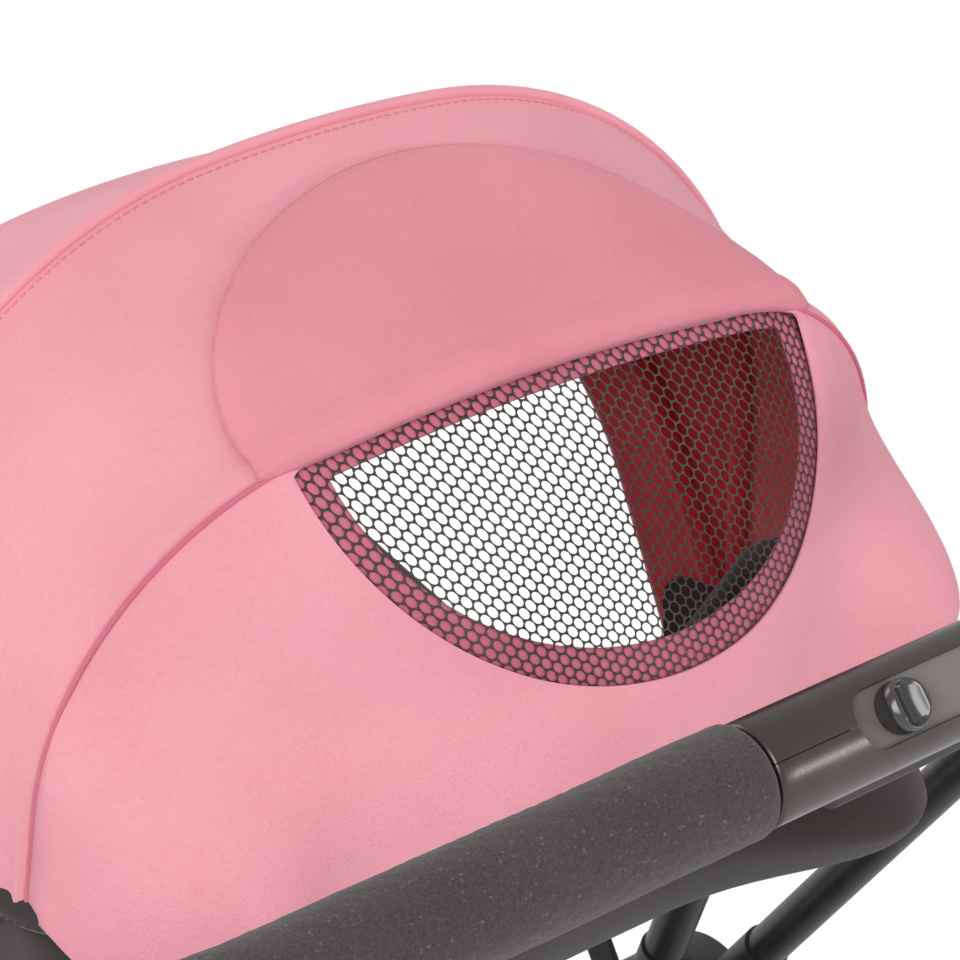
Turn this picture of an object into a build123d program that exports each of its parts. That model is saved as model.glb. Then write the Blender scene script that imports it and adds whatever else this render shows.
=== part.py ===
"""Folding four-wheel pet stroller: frame, handle, cabin, canopy with a net rear window, basket and wheels.

Millimetres. +Y is the direction of travel, +X is to the right seen from behind, +Z is up.
The origin is on the ground, under the middle of the outline.
"""
import os
from math import atan2, cos, degrees, hypot, radians, sin, sqrt

from build123d import *

# Clearances
RUN_GAP = 0.05       # radial play of a shaft in its bore
SEAT_GAP = 0.3       # between pieces that seat on each other
BODY_GAP = 0.4       # between pieces that move past each other
OVERCUT = 1.0        # how far a cut runs past the face it opens

# Frame tubes and fold hubs
TUBE_R = 9.5
TUBE_WALL = 1.5
SLEEVE_R = 10.8
SLEEVE_REACH = 74.0
TUBE_START = 42.0
HUB_R = 36.0
HUB_Y = 90.0
HUB_Z = 500.0
HUB_T = 22.0
HUB_X = 221.0        # middle of the inner hub disc
HUB_PIN_R = 6.0
HUB_CAP_R = 13.0
HUB_CAP_T = 5.0
HUB_CAP_ROUND = 2.0
HUB_ROUND = 2.5
LEG_X = HUB_X + HUB_T + BODY_GAP
ARM_X = LEG_X + HUB_T + BODY_GAP

# Rear wheels, axle and brake
REAR_WHEEL_R = 85.0
REAR_TYRE_W = 34.0
REAR_AXLE_Y = -270.0
REAR_AXLE_Z = REAR_WHEEL_R
AXLE_R = 6.0
AXLE_CAP_R = 13.0
AXLE_CAP_T = 4.0
BOOT_R = 15.0
BOOT_W = 26.0
BOOT_REACH = 62.0
LEG_END_GAP = 20.0   # rear leg tube ends this far above the axle
WHEEL_GAP = 1.0
BRAKE_OFFSET = 27.0
BRAKE_OFFSET_ANGLE = 155.0
BRAKE_ROD_R = 5.0
BRAKE_LOBE_R = 9.0
BRAKE_PIN_R = 3.0
BRAKE_PIN_RADIUS = 24.0
BRAKE_CRANK_T = 4.0
BRAKE_CRANK_EDGE = 1.0
BRAKE_PIN_L = 5.0
BRAKE_TOOTH_COUNT = 12
BRAKE_TOOTH_OUT = 20.0
BRAKE_TOOTH_W = 2.5
BRAKE_RING_T = 7.0
PEDAL_W = 84.0
PEDAL_L = 54.0
PEDAL_T = 6.0
PEDAL_TILT = 8.0
PEDAL_RIBS = 4
PEDAL_ROUND = 12.0
PEDAL_RIB_PITCH = 8.0
PEDAL_RIB_W = 3.0
PEDAL_RIB_H = 1.5
PEDAL_RIB_MARGIN = 10.0
PEDAL_RIBS_AT = 0.62  # middle of the ribs along the pedal

# Front casters
FRONT_WHEEL_R = 75.0
FRONT_TYRE_W = 30.0
SWIVEL_X = 190.0
SWIVEL_Y = 290.0
TRAIL = 35.0
FORK_GAP = 2.0
FORK_ARM_T = 5.0
FORK_BOSS_R = 13.0
FORK_TOP_R = 17.0
FORK_TOP_BACK = 3.0
FORK_TOP_DROP = 18.0
CROWN_R = 24.0
CROWN_Z = FRONT_WHEEL_R * 2 + 4.0
CROWN_T = 11.5
STEM_R = 8.0
STEM_L = 56.0
CASTER_PIN_R = 5.0
CASTER_HEAD_R = 8.0
CASTER_HEAD_T = 3.0
SOCKET_R = 17.0
SOCKET_L = 62.0
SOCKET_ROUND = 5.0
SOCKET_WEB_W = 22.0
SOCKET_WEB_UP = 8.0
SOCKET_WEB_BACK = 4.0
SOCKET_WEB_L = 42.0
LEG_FOOT_END = 4.0
LEG_FOOT_Y = 285.0
LEG_FOOT_Z = 205.0
LEG_FOOT_R = 13.0
LEG_FOOT_REACH = 60.0
CROSS_R = 8.0
CROSS_AT = 0.62      # place of the cross tube along the front leg

# Wheel build
TYRE_H = 15.0
TYRE_ROUND = 9.0
GROOVE_W = 3.0
GROOVE_D = 2.0
RIM_RING_T = 8.0
RIM_HUB_R = 14.0
RIM_INSET = 2.0      # the rim is this much narrower than the tyre on each side
RIM_WEB_T = 10.0
SPOKES = 6
SPOKE_W = 11.0

# Handle
HANDLE_Y = -317.0
HANDLE_Z = 926.0
HANDLE_CORNER_R = 34.0
ARM_BEND_Y = -215.0
ARM_BEND_Z = 870.0
ARM_BEND_R = 120.0
FOAM_R = 16.5
FOAM_END = 230.0
FOAM_ROUND = 2.5
HOUSING_R = 15.5
HOUSING_HALF = 74.0
HOUSING_ROUND = 2.0
FACE_TILT = 38.0     # the housing's thumb face looks back and up at this angle
RECESS_L = 86.0
RECESS_W = 17.0
RECESS_D = 5.0
KNOB_R = 7.6
KNOB_H = 7.5
KNOB_ROUND = 1.2
KNOB_REST_X = -25.0  # where the thumb slider rests along the recess
KNOB_SCOOP_R = 14.0
KNOB_SCOOP_D = 2.0
TRIGGER_L = 92.0
TRIGGER_W = 13.0
TRIGGER_DROP = 7.0
TRIGGER_TRAVEL = 3.0
TRIGGER_TILT = -82.0
TRIGGER_CORNER_R = 3.0
TRIGGER_ROUND = 2.0

# Cabin
RIM_TUBE_R = 7.0
RIM_Z = 823.0
RIM_HALF_W = 171.0
RIM_REAR_Y = -117.0
RIM_FRONT_Y = 348.0
RIM_FRONT_Z = 765.0
RIM_DROP_Y = -64.0       # where the rim turns down from its rear rail
RIM_DIP_Y = 40.0         # lowest place of the rim's sides
RIM_DIP_Z = 686.0
RIM_REAR_R = 36.0
RIM_FRONT_R = 70.0
RIM_DROP_R = 30.0
RIM_DIP_R = 50.0
TUB_MARGIN = 2.0         # the tub stands this far outside the rim's centre line
CABIN_WALL = 2.5
CABIN_REAR_Z = 717.0
CABIN_FLOOR_Z = 590.0
CABIN_FLOOR_REAR_Y = 55.0
CABIN_FLOOR_FRONT_Y = 290.0
CABIN_FRONT_Z = 660.0
CABIN_ROUND = 34.0
BOARD_T = 4.0
BOARD_CORNER_R = 12.0
BOARD_INSET = 0.6    # share of the tub's rounding that the board keeps clear of
PAD_T = 34.0
PAD_ROUND = 26.0
PAD_MARGIN = 12.0

# Canopy
PIVOT_Y = -15.0
PIVOT_Z = 770.0
PIVOT_PIN_R = 3.0
BOW_R = 3.0
BOW_CLEARANCE = 3.0  # between a bow and the hinge plate inside it
BOW_PASS = 1.0       # between two bows as they swing past each other
EYE_R = 6.5
EYE_HALF_T = 2.6
FABRIC_T = 2.0
HOOP_Y = -126.0
HOOP_TOP = 962.0
HOOP_CROWN_R = 690.0
HOOP_CORNER_R = 122.0
HOOP_FOOT_Z = 755.0
HOOP_FOOT_R = 30.0
TOP_BOW_RISE = 250.0
TOP_BOW_TILT = 3.9
TOP_BOW_CROWN_R = 500.0
TOP_BOW_CORNER_R = 165.0
FRONT_BOW_RISE = 225.0
FRONT_BOW_TILT = -22.7
FRONT_BOW_CROWN_R = 480.0
FRONT_BOW_CORNER_R = 152.0
VISOR_L = 44.0       # the front panel runs this far past the front bow
VISOR_LIFT = 3.0
SKIRT_Z = 779.0      # lower hem of the middle panel
FAN_START = 16.0     # the front panel starts this far above the pivot
REAR_HEM_Z = 800.0
HINGE_T = 4.7
HINGE_W = 44.0
HINGE_OVER = 16.0    # the hinge plate rises this far above the pivot
HINGE_ROUND = 12.0
HINGE_SLEEVE_OVER = 6.0
HINGE_SHELF_ROUND = 3.0
PIN_HEAD_T = 2.5
PIN_HEAD_ROUND = 1.2
HINGE_FOOT_Z = 738.0
HINGE_SHELF_T = 13.7
HINGE_SHELF_W = 44.0
HINGE_X = RIM_HALF_W + RIM_TUBE_R + SEAT_GAP
FRONT_BOW_HALF_W = HINGE_X + HINGE_T + BOW_R + BOW_CLEARANCE
HOOP_HALF_W = FRONT_BOW_HALF_W
TOP_BOW_HALF_W = FRONT_BOW_HALF_W + 2 * BOW_R + BOW_PASS

# Rear window, its net and its cover flap
WINDOW_X = 14.0      # the window and its flap sit a little to the right of the middle
NET_HALF_W = 104.0
NET_TOP_Z = 956.0
NET_BOTTOM_Z = 848.0
NET_CROWN_R = 130.0
NET_CORNER_R = 75.0
NET_MARGIN = 8.0
NET_T = 1.2
NET_PITCH = 10.6
NET_CORD = 1.8
FLAP_HALF_W = 112.0
FLAP_SPAN = 0.8      # share of the middle panel that the flap covers
FLAP_ROUND = 66.0
FLAP_LIFT = 0.7

# Storage basket
BASKET_REAR_Y = -150.0
BASKET_FRONT_Y = 190.0
BASKET_TOP_Z = 400.0
BASKET_DEPTH = 150.0
BASKET_TAPER = 18.0
BASKET_WALL = 3.0
BASKET_ROUND = 40.0
STRAP_W = 22.0
STRAP_T = 1.6
STRAP_REAR_TOP = (85.0, 660.0)     # y and height; the rear straps slant back to the basket
STRAP_REAR_FOOT_Y = -80.0
STRAP_FRONT_TOP = (165.0, 690.0)
STRAP_LAP = 40.0


def side_plane(x):
    """Plane seen from the right-hand side: its own X is along Y and its own Y is up."""
    return Plane(origin=(x, 0, 0), x_dir=(0, 1, 0), z_dir=(1, 0, 0))


def hub_ray(x, angle, reach):
    """Plane across a tube that leaves the fold hub at an angle, this far from the hub's axis."""
    u, v = cos(radians(angle)), sin(radians(angle))
    return Plane(origin=(x, HUB_Y + reach * u, HUB_Z + reach * v), x_dir=(1, 0, 0), z_dir=(0, u, v))


def from_hub(y, z):
    """Angle and distance from the hub's axis to a point."""
    return degrees(atan2(z - HUB_Z, y - HUB_Y)), hypot(y - HUB_Y, z - HUB_Z)


FRONT_LEG_ANGLE, FRONT_LEG_L = from_hub(LEG_FOOT_Y, LEG_FOOT_Z)
REAR_LEG_ANGLE, REAR_LEG_L = from_hub(REAR_AXLE_Y, REAR_AXLE_Z)
STRUT_ANGLE, STRUT_L = from_hub(PIVOT_Y, HINGE_FOOT_Z)
ARM_ANGLE, ARM_BEND_AT = from_hub(ARM_BEND_Y, ARM_BEND_Z)


def save(part, name):
    part.label = name
    export_step(part, f"parts/{name}.step")


def save_pair(right_part, name):
    """Write a right-hand piece and its mirror image on the left."""
    save(right_part, f"{name}_right")
    save(mirror(right_part, about=Plane.YZ), f"{name}_left")


def bend(before, corner, after, radius):
    """Start, middle and end of the arc that rounds a corner between two straight runs."""
    into = (Vector(*corner) - Vector(*before)).normalized()
    out = (Vector(*after) - Vector(*corner)).normalized()
    turn = into.get_angle(out)
    cut = radius * sin(radians(turn) / 2) / cos(radians(turn) / 2)
    start = Vector(*corner) - into * cut
    end = Vector(*corner) + out * cut
    inward = (out - into).normalized()
    middle = Vector(*corner) + inward * (radius / cos(radians(turn) / 2) - radius)
    return start, middle, end


def bent_tube(points, radii, outer_r, bore_r=0.0):
    """Tube along straight runs joined by tangent arcs."""
    with BuildPart() as piece:
        with BuildLine() as path:
            here = Vector(*points[0])
            for before, corner, after, radius in zip(points, points[1:], points[2:], radii):
                start, middle, end = bend(before, corner, after, radius)
                Line(here, start)
                ThreePointArc(start, middle, end)
                here = end
            Line(here, Vector(*points[-1]))
        with BuildSketch(Plane(origin=path.line @ 0, z_dir=path.line % 0)):
            Circle(outer_r)
            if bore_r:
                Circle(bore_r, mode=Mode.SUBTRACT)
        sweep(path=path.line)
    return piece.part


def hub_tube(x, angle, reach):
    """Straight frame tube that leaves the hub at an angle and ends this far from the hub's axis."""
    with BuildPart() as piece:
        with BuildSketch(hub_ray(x, angle, TUBE_START)):
            Circle(TUBE_R)
            Circle(TUBE_R - TUBE_WALL, mode=Mode.SUBTRACT)
        extrude(amount=reach - TUBE_START)
    return piece.part


def hub_disc(x, angles):
    """Fold hub disc with a sleeve for each tube that it holds."""
    with BuildPart() as piece:
        with BuildSketch(side_plane(x)):
            with Locations((HUB_Y, HUB_Z)):
                Circle(HUB_R)
        extrude(amount=HUB_T / 2, both=True)
        rims = piece.edges().filter_by(GeomType.CIRCLE)
        fillet(rims, HUB_ROUND)
        for angle in angles:
            with BuildSketch(hub_ray(x, angle, 0)):
                Circle(SLEEVE_R)
            extrude(amount=SLEEVE_REACH)
            with BuildSketch(hub_ray(x, angle, TUBE_START - SEAT_GAP)):
                Circle(TUBE_R + RUN_GAP)
            extrude(amount=SLEEVE_REACH, mode=Mode.SUBTRACT)
        with BuildSketch(side_plane(x)):
            with Locations((HUB_Y, HUB_Z)):
                Circle(HUB_PIN_R + RUN_GAP)
        extrude(amount=HUB_T, both=True, mode=Mode.SUBTRACT)
    return piece.part


def tyre(x, y, z, wheel_r, width):
    """Soft tyre with two grooves round its tread."""
    with BuildPart() as piece:
        with BuildSketch(Plane(origin=(x, y, z), x_dir=(1, 0, 0), z_dir=(0, -1, 0))) as section:
            with Locations((0, wheel_r - TYRE_H / 2)):
                Rectangle(width, TYRE_H)
            fillet(section.vertices().group_by(Axis.Y)[-1], TYRE_ROUND)
            with Locations((-width / 8, wheel_r), (width / 8, wheel_r)):
                Rectangle(GROOVE_W, GROOVE_D * 2, mode=Mode.SUBTRACT)
        revolve(axis=Axis((x, y, z), (1, 0, 0)))
    return piece.part


def rim(x, y, z, wheel_r, width, bore_r):
    """Moulded rim: outer ring, spoked web and hub."""
    ring_r = wheel_r - TYRE_H - SEAT_GAP
    with BuildPart() as piece:
        with BuildSketch(side_plane(x)):
            with Locations((y, z)):
                Circle(ring_r)
                Circle(ring_r - RIM_RING_T, mode=Mode.SUBTRACT)
                Circle(RIM_HUB_R)
        extrude(amount=width / 2 - RIM_INSET, both=True)
        with BuildSketch(side_plane(x)):
            with Locations((y, z)):
                with PolarLocations((RIM_HUB_R + ring_r - RIM_RING_T / 2) / 2, SPOKES):
                    Rectangle(ring_r - RIM_HUB_R, SPOKE_W)
        extrude(amount=RIM_WEB_T / 2, both=True)
        with BuildSketch(side_plane(x)):
            with Locations((y, z)):
                Circle(bore_r)
        extrude(amount=width, both=True, mode=Mode.SUBTRACT)
    return piece.part


def arch_points(half_w, top, crown_r, corner_r):
    """Height of the legs, then the middle and the end of the right corner arc of an arch."""
    middle = top - crown_r
    leg_top = middle + sqrt((crown_r - corner_r) ** 2 - (half_w - corner_r) ** 2)
    turn = atan2(half_w - corner_r, leg_top - middle)
    half = (turn + radians(90)) / 2
    knee = (half_w - corner_r + corner_r * sin(half), leg_top + corner_r * cos(half))
    join = (crown_r * sin(turn), middle + crown_r * cos(turn))
    return leg_top, knee, join


def draw_arch(half_w, foot, top, crown_r, corner_r):
    """Legs, corner arcs and crown arc, as wires of the line in hand."""
    leg_top, knee, join = arch_points(half_w, top, crown_r, corner_r)
    return [
        Line((-half_w, foot), (-half_w, leg_top), mode=Mode.PRIVATE),
        ThreePointArc((-half_w, leg_top), (-knee[0], knee[1]), (-join[0], join[1]), mode=Mode.PRIVATE),
        ThreePointArc((-join[0], join[1]), (0, top), join, mode=Mode.PRIVATE),
        ThreePointArc(join, knee, (half_w, leg_top), mode=Mode.PRIVATE),
        Line((half_w, leg_top), (half_w, foot), mode=Mode.PRIVATE),
    ]


def arch_band(plane, half_w, foot, top, crown_r, corner_r, thickness):
    """Cross-section of a fabric panel that runs over a bow, as a thin arch."""
    inner = half_w - thickness
    with BuildSketch(plane) as band:
        with BuildLine():
            add(draw_arch(half_w, foot, top, crown_r, corner_r))
            add(draw_arch(inner, foot, top - thickness, crown_r - thickness, corner_r - thickness))
            Line((-half_w, foot), (-inner, foot))
            Line((half_w, foot), (inner, foot))
        make_face()
    return band.sketch


def arch_plate(plane, half_w, foot, top, crown_r, corner_r):
    """Full arch shape, closed along its foot."""
    with BuildSketch(plane) as plate:
        with BuildLine():
            add(draw_arch(half_w, foot, top, crown_r, corner_r))
            Line((-half_w, foot), (half_w, foot))
        make_face()
    return plate.sketch


def canopy_plane(lean, shift=0.0):
    """Plane of a bow that swings about the canopy pivots, with its own Y up the bow."""
    u, v = sin(radians(lean)), cos(radians(lean))
    return Plane(origin=(0, PIVOT_Y + shift * v, PIVOT_Z + shift * u), x_dir=(1, 0, 0), z_dir=(0, -v, -u))


def swing_bow(lean, half_w, rise, crown_r, corner_r):
    """Bow rod that swings on the canopy pivots, with an eye at each end."""
    plane = canopy_plane(lean)
    with BuildPart() as piece:
        with BuildLine(plane) as path:
            add(draw_arch(half_w, EYE_R - OVERCUT, rise, crown_r, corner_r))
        with BuildSketch(Plane(origin=path.line @ 0, z_dir=path.line % 0)):
            Circle(BOW_R)
        sweep(path=path.line)
        for x in (-half_w, half_w):
            with BuildSketch(side_plane(x)):
                with Locations((PIVOT_Y, PIVOT_Z)):
                    Circle(EYE_R)
            extrude(amount=EYE_HALF_T, both=True)
            with BuildSketch(side_plane(x)):
                with Locations((PIVOT_Y, PIVOT_Z)):
                    Circle(PIVOT_PIN_R + RUN_GAP)
            extrude(amount=BOW_R + OVERCUT, both=True, mode=Mode.SUBTRACT)
    return piece.part


os.makedirs("parts", exist_ok=True)

# Fold hubs: inner disc on the cabin frame, middle disc on the rear leg, outer disc on the handle arm
save_pair(hub_disc(HUB_X, [FRONT_LEG_ANGLE, STRUT_ANGLE]), "hub_base")
save_pair(hub_disc(LEG_X, [REAR_LEG_ANGLE]), "hub_rear_disc")
save_pair(hub_disc(ARM_X, [ARM_ANGLE]), "hub_handle_disc")

HUB_INNER_X = HUB_X - HUB_T / 2
HUB_OUTER_X = ARM_X + HUB_T / 2
with BuildPart() as hub_pin:
    with BuildSketch(side_plane(HUB_INNER_X - SEAT_GAP)):
        with Locations((HUB_Y, HUB_Z)):
            Circle(HUB_PIN_R)
    extrude(amount=HUB_OUTER_X - HUB_INNER_X + 2 * SEAT_GAP)
    with BuildSketch(side_plane(HUB_OUTER_X + SEAT_GAP)):
        with Locations((HUB_Y, HUB_Z)):
            Circle(HUB_CAP_R)
    extrude(amount=HUB_CAP_T)
    fillet(hub_pin.faces().sort_by(Axis.X)[-1].edges(), HUB_CAP_ROUND)
    with BuildSketch(side_plane(HUB_INNER_X - SEAT_GAP)):
        with Locations((HUB_Y, HUB_Z)):
            Circle(HUB_CAP_R)
    extrude(amount=-HUB_CAP_T)
save_pair(hub_pin.part, "hub_pin")

# Front legs and their cross tube
LEG_TUBE_END = FRONT_LEG_L - SEAT_GAP
save_pair(hub_tube(HUB_X, FRONT_LEG_ANGLE, LEG_TUBE_END), "front_leg")
CROSS_Y = HUB_Y + (LEG_FOOT_Y - HUB_Y) * CROSS_AT
CROSS_Z = HUB_Z + (LEG_FOOT_Z - HUB_Z) * CROSS_AT
with BuildPart() as cross_tube:
    with BuildSketch(side_plane(0)):
        with Locations((CROSS_Y, CROSS_Z)):
            Circle(CROSS_R)
            Circle(CROSS_R - TUBE_WALL, mode=Mode.SUBTRACT)
    extrude(amount=HUB_X - TUBE_R - SEAT_GAP, both=True)
save(cross_tube.part, "front_cross_tube")

# Caster sockets: an upright barrel beside the sleeve that takes the front leg
SOCKET_Z = CROWN_Z + CROWN_T + BODY_GAP
with BuildPart() as socket:
    with BuildSketch(Plane.XY.offset(SOCKET_Z)):
        with Locations((SWIVEL_X, SWIVEL_Y)):
            Circle(SOCKET_R)
    extrude(amount=SOCKET_L)
    fillet(socket.faces().sort_by(Axis.Z)[-1].edges(), SOCKET_ROUND)
    with BuildSketch(hub_ray(HUB_X, FRONT_LEG_ANGLE, FRONT_LEG_L + LEG_FOOT_END)):
        Circle(LEG_FOOT_R)
    extrude(amount=-LEG_FOOT_REACH)
    with BuildSketch(Plane.XY.offset(SOCKET_Z + SOCKET_WEB_UP)):
        with Locations(((SWIVEL_X + HUB_X) / 2, (SWIVEL_Y + LEG_FOOT_Y) / 2 - SOCKET_WEB_BACK)):
            Rectangle(HUB_X - SWIVEL_X, SOCKET_WEB_W)
    extrude(amount=SOCKET_WEB_L)
    with BuildSketch(hub_ray(HUB_X, FRONT_LEG_ANGLE, FRONT_LEG_L)):
        Circle(TUBE_R + RUN_GAP)
    extrude(amount=-LEG_FOOT_REACH, mode=Mode.SUBTRACT)
    with BuildSketch(Plane.XY.offset(SOCKET_Z)):
        with Locations((SWIVEL_X, SWIVEL_Y)):
            Circle(STEM_R + RUN_GAP)
    extrude(amount=STEM_L + OVERCUT, mode=Mode.SUBTRACT)
save_pair(socket.part, "caster_socket")

# Caster forks, axle pins and wheels
WHEEL_Y = SWIVEL_Y - TRAIL
FORK_IN = FRONT_TYRE_W / 2 + FORK_GAP
with BuildPart() as fork:
    with BuildSketch(Plane.XY.offset(CROWN_Z)):
        with Locations((SWIVEL_X, SWIVEL_Y)):
            Circle(CROWN_R)
    extrude(amount=CROWN_T)
    with BuildSketch(Plane.XY.offset(CROWN_Z + CROWN_T)):
        with Locations((SWIVEL_X, SWIVEL_Y)):
            Circle(STEM_R)
    extrude(amount=STEM_L)
    for x in (SWIVEL_X - FORK_IN - FORK_ARM_T, SWIVEL_X + FORK_IN):
        with BuildSketch(side_plane(x)):
            with Locations((WHEEL_Y, FRONT_WHEEL_R)):
                Circle(FORK_BOSS_R)
            with Locations((SWIVEL_Y - FORK_TOP_BACK, CROWN_Z + CROWN_T - FORK_TOP_DROP)):
                Circle(FORK_TOP_R)
            make_hull()
        extrude(amount=FORK_ARM_T)
    with BuildSketch(side_plane(SWIVEL_X)):
        with Locations((WHEEL_Y, FRONT_WHEEL_R)):
            Circle(CASTER_PIN_R + RUN_GAP)
    extrude(amount=FORK_IN + FORK_ARM_T + OVERCUT, both=True, mode=Mode.SUBTRACT)
save_pair(fork.part, "caster_fork")

PIN_REACH = FORK_IN + FORK_ARM_T + SEAT_GAP
with BuildPart() as caster_pin:
    with BuildSketch(side_plane(SWIVEL_X)):
        with Locations((WHEEL_Y, FRONT_WHEEL_R)):
            Circle(CASTER_PIN_R)
    extrude(amount=PIN_REACH, both=True)
    for way in (1, -1):
        with BuildSketch(side_plane(SWIVEL_X + way * PIN_REACH)):
            with Locations((WHEEL_Y, FRONT_WHEEL_R)):
                Circle(CASTER_HEAD_R)
        extrude(amount=CASTER_HEAD_T * way)
save_pair(caster_pin.part, "caster_axle")
save_pair(tyre(SWIVEL_X, WHEEL_Y, FRONT_WHEEL_R, FRONT_WHEEL_R, FRONT_TYRE_W), "front_tyre")
front_rim = rim(SWIVEL_X, WHEEL_Y, FRONT_WHEEL_R, FRONT_WHEEL_R, FRONT_TYRE_W, CASTER_PIN_R + RUN_GAP)
save_pair(front_rim, "front_rim")

# Rear legs with moulded boots on the axle
save_pair(hub_tube(LEG_X, REAR_LEG_ANGLE, REAR_LEG_L - LEG_END_GAP), "rear_leg")
BRAKE_Y = REAR_AXLE_Y + BRAKE_OFFSET * cos(radians(BRAKE_OFFSET_ANGLE))
BRAKE_Z = REAR_AXLE_Z + BRAKE_OFFSET * sin(radians(BRAKE_OFFSET_ANGLE))
with BuildPart() as boot:
    with BuildSketch(side_plane(LEG_X)):
        with Locations((REAR_AXLE_Y, REAR_AXLE_Z)):
            Circle(BOOT_R)
        with Locations((BRAKE_Y, BRAKE_Z)):
            Circle(BRAKE_LOBE_R)
        make_hull()
    extrude(amount=BOOT_W / 2, both=True)
    with BuildSketch(hub_ray(LEG_X, REAR_LEG_ANGLE, REAR_LEG_L)):
        Circle(LEG_FOOT_R)
    extrude(amount=-BOOT_REACH)
    with BuildSketch(hub_ray(LEG_X, REAR_LEG_ANGLE, REAR_LEG_L - LEG_END_GAP + SEAT_GAP)):
        Circle(TUBE_R + RUN_GAP)
    extrude(amount=-BOOT_REACH, mode=Mode.SUBTRACT)
    with BuildSketch(side_plane(LEG_X)):
        with Locations((REAR_AXLE_Y, REAR_AXLE_Z)):
            Circle(AXLE_R + RUN_GAP)
        with Locations((BRAKE_Y, BRAKE_Z)):
            Circle(BRAKE_ROD_R + RUN_GAP)
    extrude(amount=BOOT_W, both=True, mode=Mode.SUBTRACT)
save_pair(boot.part, "leg_boot")

REAR_WHEEL_X = LEG_X + BOOT_W / 2 + WHEEL_GAP + REAR_TYRE_W / 2
AXLE_END_X = REAR_WHEEL_X + REAR_TYRE_W / 2 - RIM_INSET + SEAT_GAP
with BuildPart() as rear_axle:
    with BuildSketch(side_plane(0)):
        with Locations((REAR_AXLE_Y, REAR_AXLE_Z)):
            Circle(AXLE_R)
    extrude(amount=AXLE_END_X, both=True)
    for x, way in ((AXLE_END_X, 1), (-AXLE_END_X, -1)):
        with BuildSketch(side_plane(x)):
            with Locations((REAR_AXLE_Y, REAR_AXLE_Z)):
                Circle(AXLE_CAP_R)
        extrude(amount=AXLE_CAP_T * way)
save(rear_axle.part, "rear_axle")

# Rear wheels: the rim carries a toothed ring that the brake pin drops into
save_pair(tyre(REAR_WHEEL_X, REAR_AXLE_Y, REAR_AXLE_Z, REAR_WHEEL_R, REAR_TYRE_W), "rear_tyre")
TEETH_X = REAR_WHEEL_X - RIM_WEB_T / 2
TOOTH_MIDDLE_R = (RIM_HUB_R + BRAKE_TOOTH_OUT) / 2 - OVERCUT
with BuildPart() as rear_rim:
    add(rim(REAR_WHEEL_X, REAR_AXLE_Y, REAR_AXLE_Z, REAR_WHEEL_R, REAR_TYRE_W, AXLE_R + RUN_GAP))
    with BuildSketch(side_plane(TEETH_X)):
        with Locations((REAR_AXLE_Y, REAR_AXLE_Z)):
            with PolarLocations(TOOTH_MIDDLE_R, BRAKE_TOOTH_COUNT, start_angle=180 / BRAKE_TOOTH_COUNT):
                Rectangle(BRAKE_TOOTH_OUT - RIM_HUB_R + 2 * OVERCUT, BRAKE_TOOTH_W)
    extrude(amount=-BRAKE_RING_T)
save_pair(rear_rim.part, "rear_rim")

# Foot brake: a pedal on a rod across both boots, with a crank and a pin at each wheel
CRANK_X = LEG_X + BOOT_W / 2 + BODY_GAP
PIN_TURN = degrees(atan2(sqrt(BRAKE_OFFSET ** 2 - BRAKE_PIN_RADIUS ** 2), BRAKE_PIN_RADIUS))
PIN_ANGLE = radians(BRAKE_OFFSET_ANGLE + PIN_TURN)
PIN_Y = REAR_AXLE_Y + BRAKE_PIN_RADIUS * cos(PIN_ANGLE)
PIN_Z = REAR_AXLE_Z + BRAKE_PIN_RADIUS * sin(PIN_ANGLE)
with BuildPart() as brake:
    with BuildSketch(side_plane(0)):
        with Locations((BRAKE_Y, BRAKE_Z)):
            Circle(BRAKE_ROD_R)
    extrude(amount=CRANK_X + BRAKE_CRANK_T, both=True)
    for x, way in ((CRANK_X, 1), (-CRANK_X, -1)):
        with BuildSketch(side_plane(x)):
            with Locations((BRAKE_Y, BRAKE_Z)):
                Circle(BRAKE_ROD_R + BRAKE_CRANK_EDGE)
            with Locations((PIN_Y, PIN_Z)):
                Circle(BRAKE_PIN_R + BRAKE_CRANK_EDGE)
            make_hull()
        extrude(amount=BRAKE_CRANK_T * way)
        with BuildSketch(side_plane(x)):
            with Locations((PIN_Y, PIN_Z)):
                Circle(BRAKE_PIN_R)
        extrude(amount=(BRAKE_CRANK_T + BRAKE_PIN_L) * way)
    pedal_up = (0, sin(radians(PEDAL_TILT)), cos(radians(PEDAL_TILT)))
    pedal_plane = Plane(origin=(0, BRAKE_Y, BRAKE_Z), x_dir=(1, 0, 0), z_dir=pedal_up)
    with BuildSketch(pedal_plane.offset(-PEDAL_T / 2)):
        with Locations((0, -PEDAL_L / 2)):
            RectangleRounded(PEDAL_W, PEDAL_L, PEDAL_ROUND)
    extrude(amount=PEDAL_T)
    with BuildSketch(pedal_plane.offset(PEDAL_T / 2)):
        with Locations((0, -PEDAL_L * PEDAL_RIBS_AT)):
            with GridLocations(0, PEDAL_RIB_PITCH, 1, PEDAL_RIBS):
                Rectangle(PEDAL_W - 2 * PEDAL_RIB_MARGIN, PEDAL_RIB_W)
    extrude(amount=PEDAL_RIB_H)
save(brake.part, "brake_pedal")

# Handle: one bent tube with two foam grips
arm_start = hub_ray(ARM_X, ARM_ANGLE, TUBE_START).origin
handle_right = [
    (ARM_X, arm_start.Y, arm_start.Z),
    (ARM_X, ARM_BEND_Y, ARM_BEND_Z),
    (ARM_X, HANDLE_Y, HANDLE_Z),
]
handle_left = [(-x, y, z) for x, y, z in reversed(handle_right)]
handle_radii = [ARM_BEND_R, HANDLE_CORNER_R, HANDLE_CORNER_R, ARM_BEND_R]
save(bent_tube(handle_right + handle_left, handle_radii, TUBE_R, TUBE_R - TUBE_WALL), "handle_tube")

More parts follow.
